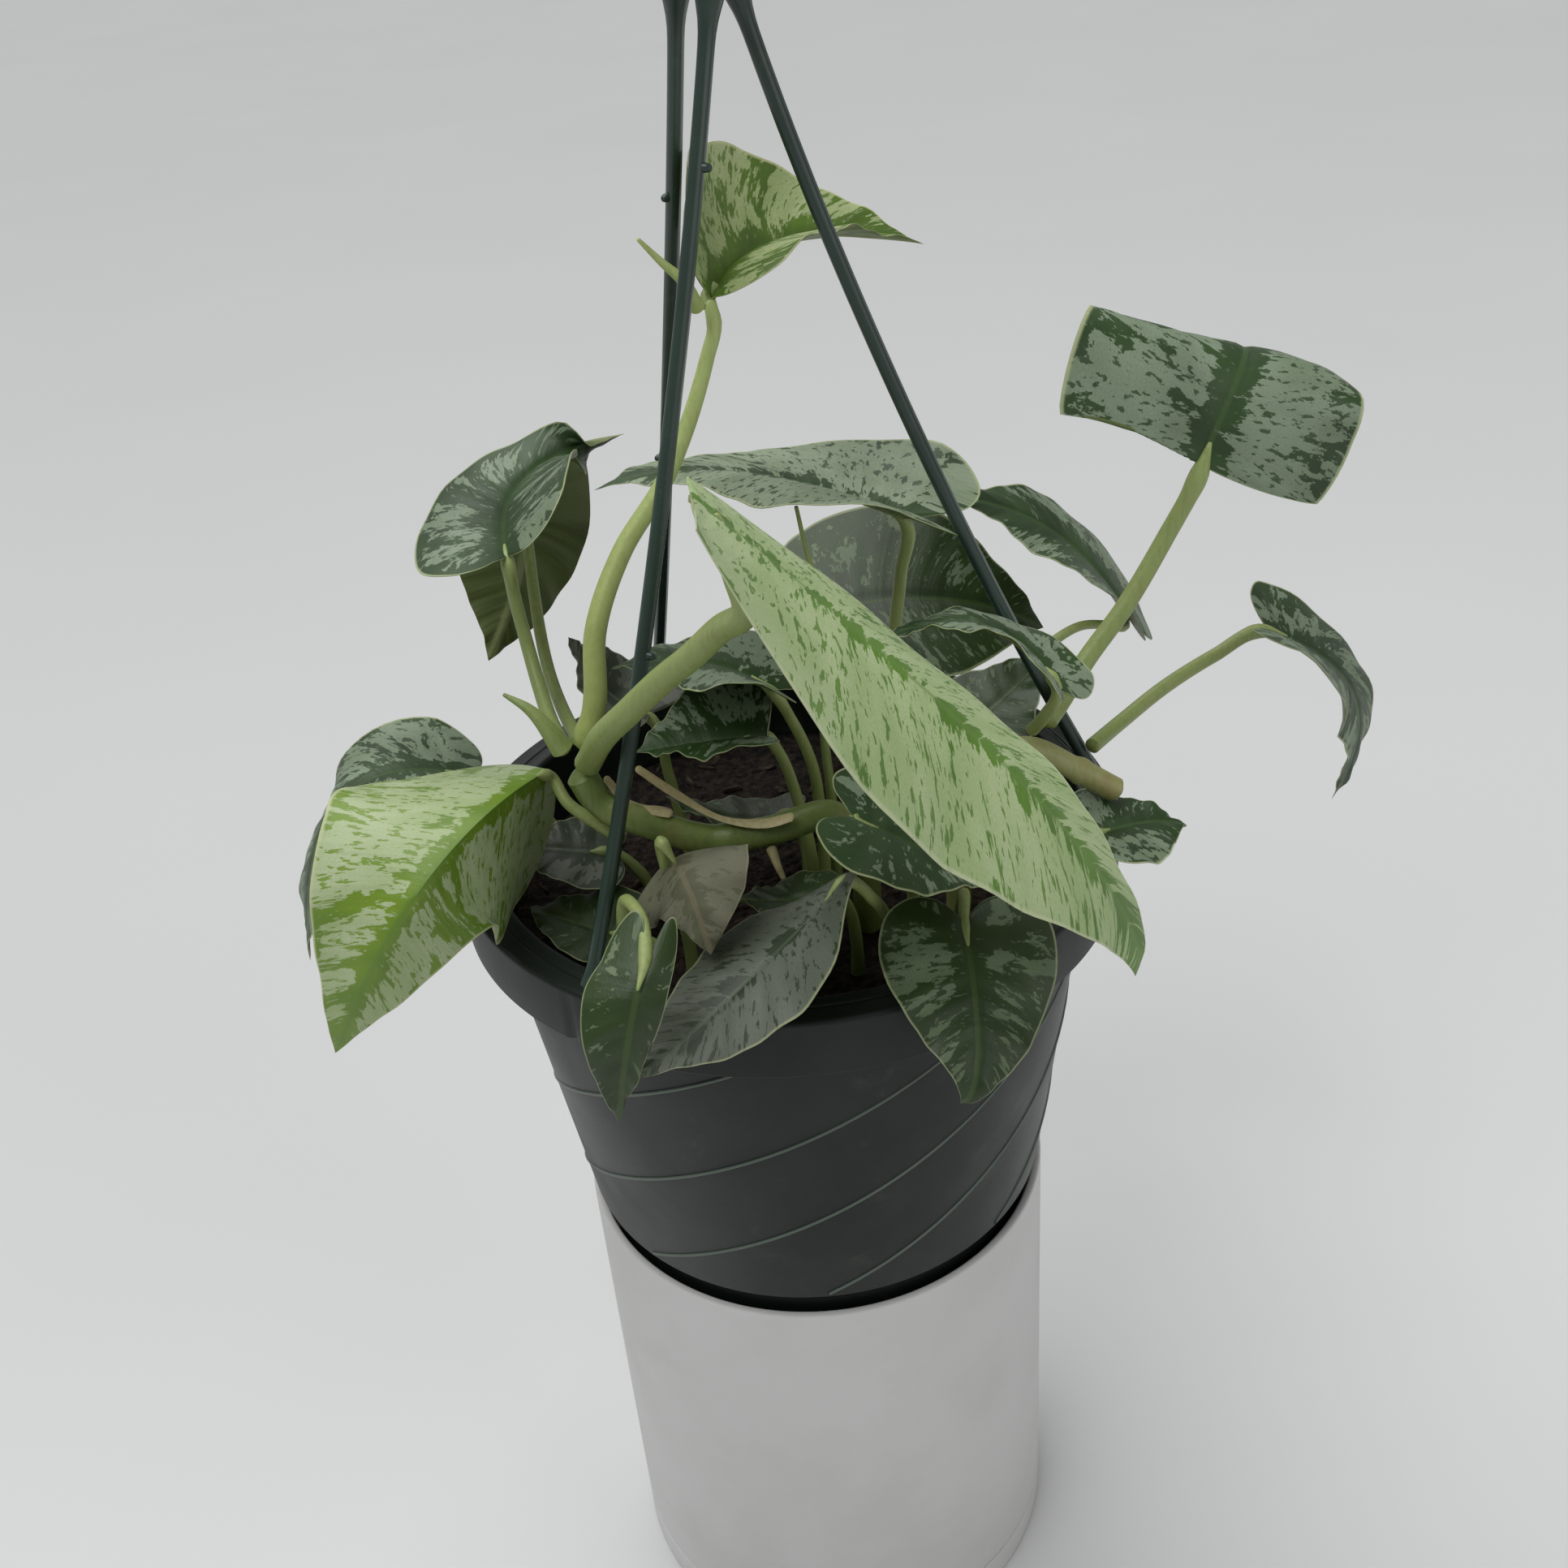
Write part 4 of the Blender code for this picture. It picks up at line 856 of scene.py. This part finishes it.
leaves["LeafRimDark"] = dict(
    midrib=((35, -63, 9), (36, -96, -9), (30, -90, -16)),
    across=(-0.96, -0.07, 0.27),
    half=(20, 19),
    fold=((5, -5, 0), 0),
    curl=((-5, -20, -20), -10),
    lobe=(1.2, 1.1),
    stalk=((35, -63, 8), (36, -56, 11), (36, -48, 1), (35, -42, -16.6)),
    look=dict(darkInShade, cover=0.48, seed=16))
leaves["LeafSpeckled"] = dict(
    midrib=((14, -59, 35), (29, -63, 27), (43, -65, 20)),
    across=(-0.46, -0.86, 0.21),
    half=(20, 20),
    fold=(0, 5),
    curl=((10, 10, 15), (-10, -10, -15)),
    lobe=(1.6, 1.6),
    stalk=((14, -59, 34), (21, -50, 29), (26, -44, 6), (27, -42, -16.6)),
    look=dict(satin, cover=0.45, seed=17))
leaves["LeafLowRight"] = dict(
    midrib=((68, -32, 7), (85, -25, 7), (92, -24, 2)),
    across=(0.19, -0.98, -0.02),
    half=(15, 16),
    fold=(5, (5, 0, 0)),
    curl=(0, 0),
    lobe=(1.0, 1.0),
    stalk=((68, -32, 7), (60, -30, 5), (52, -28, -5), (50, -27, -16.6)),
    look=dict(satin, cover=0.5, seed=18))
leaves["LeafCentre"] = dict(
    midrib=((-1, -17, 44), (-17, -10, 53), (-36, -13, 50)),
    across=(0.08, 0.98, -0.19),
    half=(25, 25),
    fold=((15, 0, 0), (15, 0, 0)),
    curl=(0, 0),
    lobe=(1.5, 1.5),
    stalk=((-1, -17, 43), (3, -15, 34), (7, -13, 20), (8, -12, 5), (8, -12, -16.6)),
    look=dict(satin, cover=0.7, seed=19, ribGreen=4.0))
leaves["LeafGrey"] = dict(
    midrib=((-31, 7, 27), (-43, 15, 27), (-48, 15, 45)),
    across=(0.24, 0.97, -0.01),
    half=(18, 18),
    fold=((5, 10, 10), 10),
    curl=(0, 0),
    lobe=(1.0, 1.0),
    stalk=((-31, 7, 26), (-28, 8, 9), (-25, 8, -16.6)),
    look=dict(grey, cover=0.7, seed=20))
leaves["LeafLying"] = dict(
    midrib=((-3, -23, 35), (-16, -21, 35), (-32, -25, 35)),
    across=(-0.25, 0.94, -0.25),
    half=(17, 18),
    fold=((10, 0, 0), 45),
    curl=(0, 0),
    lobe=(1.0, 0.2),
    stalk=((-3, -21, 34), (-1, -20, 30), (3, -20, 15), (5, -21, 0), (5, -21, -16.6)),
    look=dict(satin, cover=0.5, seed=21))
leaves["LeafInnerLeft"] = dict(
    midrib=((-38, -35, -8), (-52, -32, -4), (-62, -22, -6)),
    across=(0.38, 0.92, 0.1),
    half=(11, 14),
    fold=(5, 5),
    curl=(0, 0),
    lobe=(1.0, 1.0),
    stalk=((-38, -35, -8), (-33, -34, -11), (-31, -34, -14), (-31, -34, -16.6)),
    look=dict(darkInShade, cover=0.3, seed=22))
leaves["LeafInnerGrey"] = dict(
    midrib=((-42, -14, 2), (-55, -14, 4), (-65, -8, 3)),
    across=(0.16, 0.95, 0.25),
    half=(12, 12),
    fold=(5, 5),
    curl=(0, 0),
    lobe=(1.0, 1.0),
    stalk=((-42, -14, 2), (-36, -13, -5), (-34, -10, -16.6)),
    look=dict(grey, cover=0.5, seed=23))
leaves["LeafNarrow"] = dict(
    midrib=((1, -12, 7), (-14, -13, 5), (-28, -10, 14)),
    across=(-0.01, 1.0, -0.1),
    half=(9, 10),
    fold=(5, 5),
    curl=(0, 0),
    lobe=(1.0, 1.0),
    stalk=((1, -12, 7), (3, -13, 2), (4, -13, -16.6)),
    look=dict(darkInShade, cover=0.3, seed=24))
leaves["LeafUnderVine"] = dict(
    midrib=((8, -45, 8), (-3, -46, 5), (-14, -46, 9)),
    across=(0.01, 1.0, -0.03),
    half=(8, 8),
    fold=(5, 5),
    curl=(0, 0),
    lobe=(0.8, 0.8),
    stalk=((9, -45, 7), (12, -44, 1), (13, -44, -6), (13, -44, -16.6)),
    look=dict(darkInShade, cover=0.3, seed=25))
leaves["LeafDeep"] = dict(
    midrib=((45, 25, 2), (61, 35, 8), (70, 35, 19)),
    across=(0.51, -0.86, -0.11),
    half=(16, 18),
    fold=(5, 5),
    curl=(0, 0),
    lobe=(1.0, 1.0),
    stalk=((45, 25, 2), (42, 22, -7), (41, 21, -16.6)),
    look=dict(darkInShade, cover=0.3, seed=26))

# half of a leaf's outline from notch to tip: where a side vein leaves the midrib and where it meets
# the margin, as shares of the leaf's length, and how far out, as a share of the half width
outline = ((0, -0.02, 0), (0, -0.12, 0.30), (0.01, -0.12, 0.66), (0.05, -0.01, 0.93), (0.14, 0.18, 1),
           (0.27, 0.40, 0.90), (0.44, 0.60, 0.66), (0.63, 0.77, 0.38), (0.82, 0.90, 0.15), (1, 1, 0))


def leafSurface(leaf, rows, spans):
    # midrib M(t) = (1-t)^2 base + 2 t (1-t) bow + t^2 tip; at distance d out along a side vein the
    # blade has turned by fold + curl d / half, so it lies at (sin turn - sin fold) / bend across and
    # (cos fold - cos turn) / bend above, with bend = curl / half
    base, bow, tip = np.array(leaf["midrib"], float)
    t = np.linspace(0, 1, 200)[:, None]
    rib = base * (1 - t) ** 2 + 2 * bow * t * (1 - t) + tip * t**2
    travelled = np.concatenate([[0], np.cumsum(np.linalg.norm(np.diff(rib, axis=0), axis=1))])
    length = travelled[-1]
    heading = unit(np.gradient(rib, travelled, axis=0))
    shape = smoothRoute(outline, rows)
    vein, margin, width = shape[:, 0:1], shape[:, 1:2], np.maximum(shape[:, 2:3], 0)
    side = np.linspace(-1, 1, 2 * spans + 1)[None]
    side = np.sign(side) * (1 - (1 - np.abs(side)) ** 1.25)
    out = np.abs(side)
    right = side > 0
    lobe = np.where(right, leaf["lobe"][1], leaf["lobe"][0])
    reach = np.where(margin < 0, margin * lobe, margin)
    along = (vein + (reach - vein) * out**1.4) * length
    half = np.where(right, leaf["half"][1], leaf["half"][0])
    distance = width * half * out
    held = np.clip(along, 0, length)
    place = np.stack([np.interp(held, travelled, rib[:, k]) for k in range(3)], axis=-1)
    forward = unit(np.stack([np.interp(held, travelled, heading[:, k]) for k in range(3)], axis=-1))
    place = place + forward * (along - held)[..., None]
    across = np.array(leaf["across"], float)
    across = unit(across - forward * (forward @ across)[..., None])
    above = np.cross(across, forward)
    share = held / length

    def spread(key):
        values = [np.broadcast_to(np.asarray(v, float), (3,)) for v in
                  (leaf[key] if isinstance(leaf[key], tuple) else (leaf[key], leaf[key]))]
        left, rightSide = (np.interp(share, (0, 0.5, 1), v) for v in values)
        return np.radians(np.where(right, rightSide, left))

    fold = spread("fold")
    bend = (spread("curl") + 1e-5) / half
    sideways = (np.sin(fold + bend * distance) - np.sin(fold)) / bend
    raised = (np.cos(fold) - np.cos(fold + bend * distance)) / bend
    look = leaf["look"]
    seed = look.get("seed", 0)
    long = np.sin(2 * math.pi * (2.6 * vein + 0.37 * seed + 0.5 * right))
    short = np.sin(2 * math.pi * (7.1 * vein + 0.11 * seed + 0.3 * right))
    wave = look.get("wave", 0.7) * (out**2.2 * long + 0.4 * out**3 * short)
    quilt = 0.16 * np.sin(2 * math.pi * (vein * length / 5.2)) * np.clip(out * (1 - out) * 4, 0, 1)
    groove = -0.45 * np.exp(-(distance / 1.1) ** 2)
    taper = np.clip(width * 6, 0, 1) * np.clip((1 - vein) * 12, 0, 1)
    raised = raised + (wave + quilt + groove) * taper
    middle = place + across * (np.sign(side) * sideways)[..., None] + above * raised[..., None]
    veinLayer = np.stack([vein * length + 0 * out, side * width * half, out + 0 * vein], axis=-1)
    return middle, veinLayer, width, length


def leafParts(leaf, rows=64, spans=16):
    middle, vein, width, length = leafSurface(leaf, rows, spans)
    normal = np.cross(np.gradient(middle, axis=1), np.gradient(middle, axis=0))
    normal[0] = normal[1].mean(axis=0)
    normal[-1] = normal[-2].mean(axis=0)
    normal = unit(normal)
    out = vein[..., 2]
    thick = (0.30 - 0.22 * out**6) * np.clip(width * 8, 0.02, 1)
    rib = 0.45 * np.exp(-(vein[..., 1] / 0.9) ** 2) * (1 - vein[..., 0] / length)
    rib = rib * np.clip(width * 4, 0, 1)
    top = middle + normal * thick[..., None]
    bottom = middle - normal * (thick + rib)[..., None]
    columns = middle.shape[1]
    points = np.concatenate([top.reshape(-1, 3), bottom.reshape(-1, 3)])
    start = rows * columns
    index = np.arange(start).reshape(rows, columns)
    quads = [gridFaces(rows, columns), gridFaces(rows, columns, start, flip=True)]
    for column in (0, columns - 1):
        line = index[:, column]
        strip = np.stack([line[:-1], line[1:], line[1:] + start, line[:-1] + start], axis=1)
        quads.append(strip if column else strip[:, ::-1])
    quads = np.concatenate(quads)
    ends = np.concatenate([index[0], index[0] + start])
    points[ends] = points[ends].mean(axis=0)
    ends = np.concatenate([index[-1], index[-1] + start])
    points[ends] = points[ends].mean(axis=0)
    keys = np.round(points / 1e-5).astype(np.int64)
    first, inverse = np.unique(keys, axis=0, return_index=True, return_inverse=True)[1:]
    inverse = inverse.reshape(-1)
    faces = []
    for quad in inverse[quads].tolist():
        corners = list(dict.fromkeys(quad))
        if len(corners) > 2:
            faces.append(tuple(corners))
    veinLayer = np.concatenate([vein.reshape(-1, 3), vein.reshape(-1, 3)])[first]
    under = np.concatenate([np.zeros(start), np.ones(start)])[first]
    points = points[first]
    return points, faces, {"vein": veinLayer, "under": under, "along": np.zeros(len(points))}


stalkPale = stemMaterial("StalkPale", dict(
    start=(146, 160, 98), end=(130, 146, 82), streak=(110, 128, 66), brown=0.1))


def addLeaf(name, leaf):
    points, faces, layers = leafParts(leaf)
    faces = outward(faces, points)
    base, bow = np.array(leaf["midrib"], float)[:2]
    inside = base + unit(bow - base) * 5.0
    route = smoothRoute([tuple(inside)] + list(leaf["stalk"]), 56)
    near, far = leaf.get("stalkRadius", (1.2, 1.5))
    share = np.linspace(0, 1, 56)
    radius = (near + (far - near) * share) * np.clip(0.25 + share * 9, 0, 1)
    radius = radius * (1 + 0.16 * np.exp(-((share - 0.12) / 0.04) ** 2))
    grooved = lambda s, a: 1 - 0.10 * np.exp(-((a - math.pi / 2) / 0.45) ** 2)
    stalkPoints, stalkFaces, stalkLayers = sweep(route, radius, 16, grooved)
    stalkFaces = outward(stalkFaces, stalkPoints)
    count = len(stalkPoints)
    stalkLayers = {"vein": np.zeros((count, 3)), "under": np.zeros(count), "along": stalkLayers["along"]}
    allPoints, allFaces, allLayers = joined([
        (points, faces, layers), (stalkPoints, stalkFaces, stalkLayers)])
    skin = leafMaterial(name + "Skin", leaf["look"])
    piece = addPiece(name + "Fine", allPoints + (0, 0, rimTop), allFaces, skin, name, allLayers)
    piece.data.materials.append(stalkPale)
    which = np.zeros(len(allFaces), np.int32)
    which[len(faces):] = 1
    piece.data.polygons.foreach_set("material_index", which)
    return piece


for name, leaf in leaves.items():
    addLeaf(name, leaf)
print("leaves")


# Studio

floorLook = Look("Floor")
floorPlace = floorLook.objectPlace()
cloudy = floorLook.noise(floorPlace, 3.0, 2.0)
floorColour = floorLook.mixed(cloudy, tone(210, 211, 211), tone(205, 206, 206))
floorGrain = floorLook.noise(floorPlace, 60.0, 2.0)
floorMaterial = floorLook.finish(floorColour, 0.85, floorGrain, 0.05, 0.05, 0.2)
# a level square: x and y run evenly from edge to edge
reach = np.linspace(-7000, 7000, 15)
floorPoints = np.stack([*np.meshgrid(reach, reach, indexing="ij"), np.zeros((15, 15))], axis=-1)
floorPoints = floorPoints.reshape(-1, 3)
floorMesh = bpy.data.meshes.new("Floor")
floorMesh.from_pydata((floorPoints * mm).tolist(), [], gridFaces(15, 15, flip=True).tolist())
floorMesh.materials.append(floorMaterial)
floor = bpy.data.objects.new("Floor", floorMesh)
bpy.context.scene.collection.objects.link(floor)


def addLight(name, place, target, size, power):
    # a round lamp at place (m) whose -Z axis points at target
    light = bpy.data.lights.new(name, "AREA")
    light.shape = "DISK"
    light.size = size
    light.energy = power
    lamp = bpy.data.objects.new(name, light)
    ahead = unit(np.array(target, float) - np.array(place, float))
    side = unit(np.cross(ahead, (0, 0, 1)))
    up = np.cross(side, ahead)
    turned = np.column_stack([side, up, -ahead, place])
    lamp.matrix_world = Matrix(turned.tolist() + [(0, 0, 0, 1)])
    bpy.context.scene.collection.objects.link(lamp)


addLight("Key", (-0.55, -0.75, 1.75), (0, 0, 0.25), 0.9, 10.0)
addLight("Fill", (1.3, -0.9, 0.9), (0, 0, 0.2), 1.2, 4.5)
sky = bpy.data.lights.new("Sky", "SUN")  # soft even light on the whole floor
sky.energy = 1.9
sky.angle = math.radians(60)
skyLamp = bpy.data.objects.new("Sky", sky)
tilt, tip = math.radians(-14), math.radians(-22)
skyLamp.matrix_world = Matrix.Rotation(tilt, 4, "Y") @ Matrix.Rotation(tip, 4, "X")
bpy.context.scene.collection.objects.link(skyLamp)
world = bpy.data.worlds.new("Studio")
world.use_nodes = True
ambient = world.node_tree.nodes["Background"].inputs
ambient["Color"].default_value = (1.0, 1.0, 1.0, 1.0)
ambient["Strength"].default_value = 0.26
bpy.context.scene.world = world
bpy.context.scene.view_settings.view_transform = "Standard"

# camera: pitch below the horizon, rolled about its own axis
view = dict(place=(0.0, -0.3421, 0.46915), pitch=31.76, roll=-5.06, sensor=36.0,
            lens=36.0 * 2052 / 1932)
pitch, roll = math.radians(view["pitch"]), math.radians(view["roll"])
forward = np.array([0, math.cos(pitch), -math.sin(pitch)])
level = np.array([1.0, 0.0, 0.0])
upright = np.cross(level, forward)
side = level * math.cos(roll) + upright * math.sin(roll)
up = upright * math.cos(roll) - level * math.sin(roll)
lens = bpy.data.cameras.new("Camera")
lens.sensor_width = view["sensor"]
lens.lens = view["lens"]
camera = bpy.data.objects.new("Camera", lens)
turned = np.column_stack([side, up, -forward, view["place"]])
camera.matrix_world = Matrix(turned.tolist() + [(0, 0, 0, 1)])
bpy.context.scene.collection.objects.link(camera)
bpy.context.scene.camera = camera
print("studio")
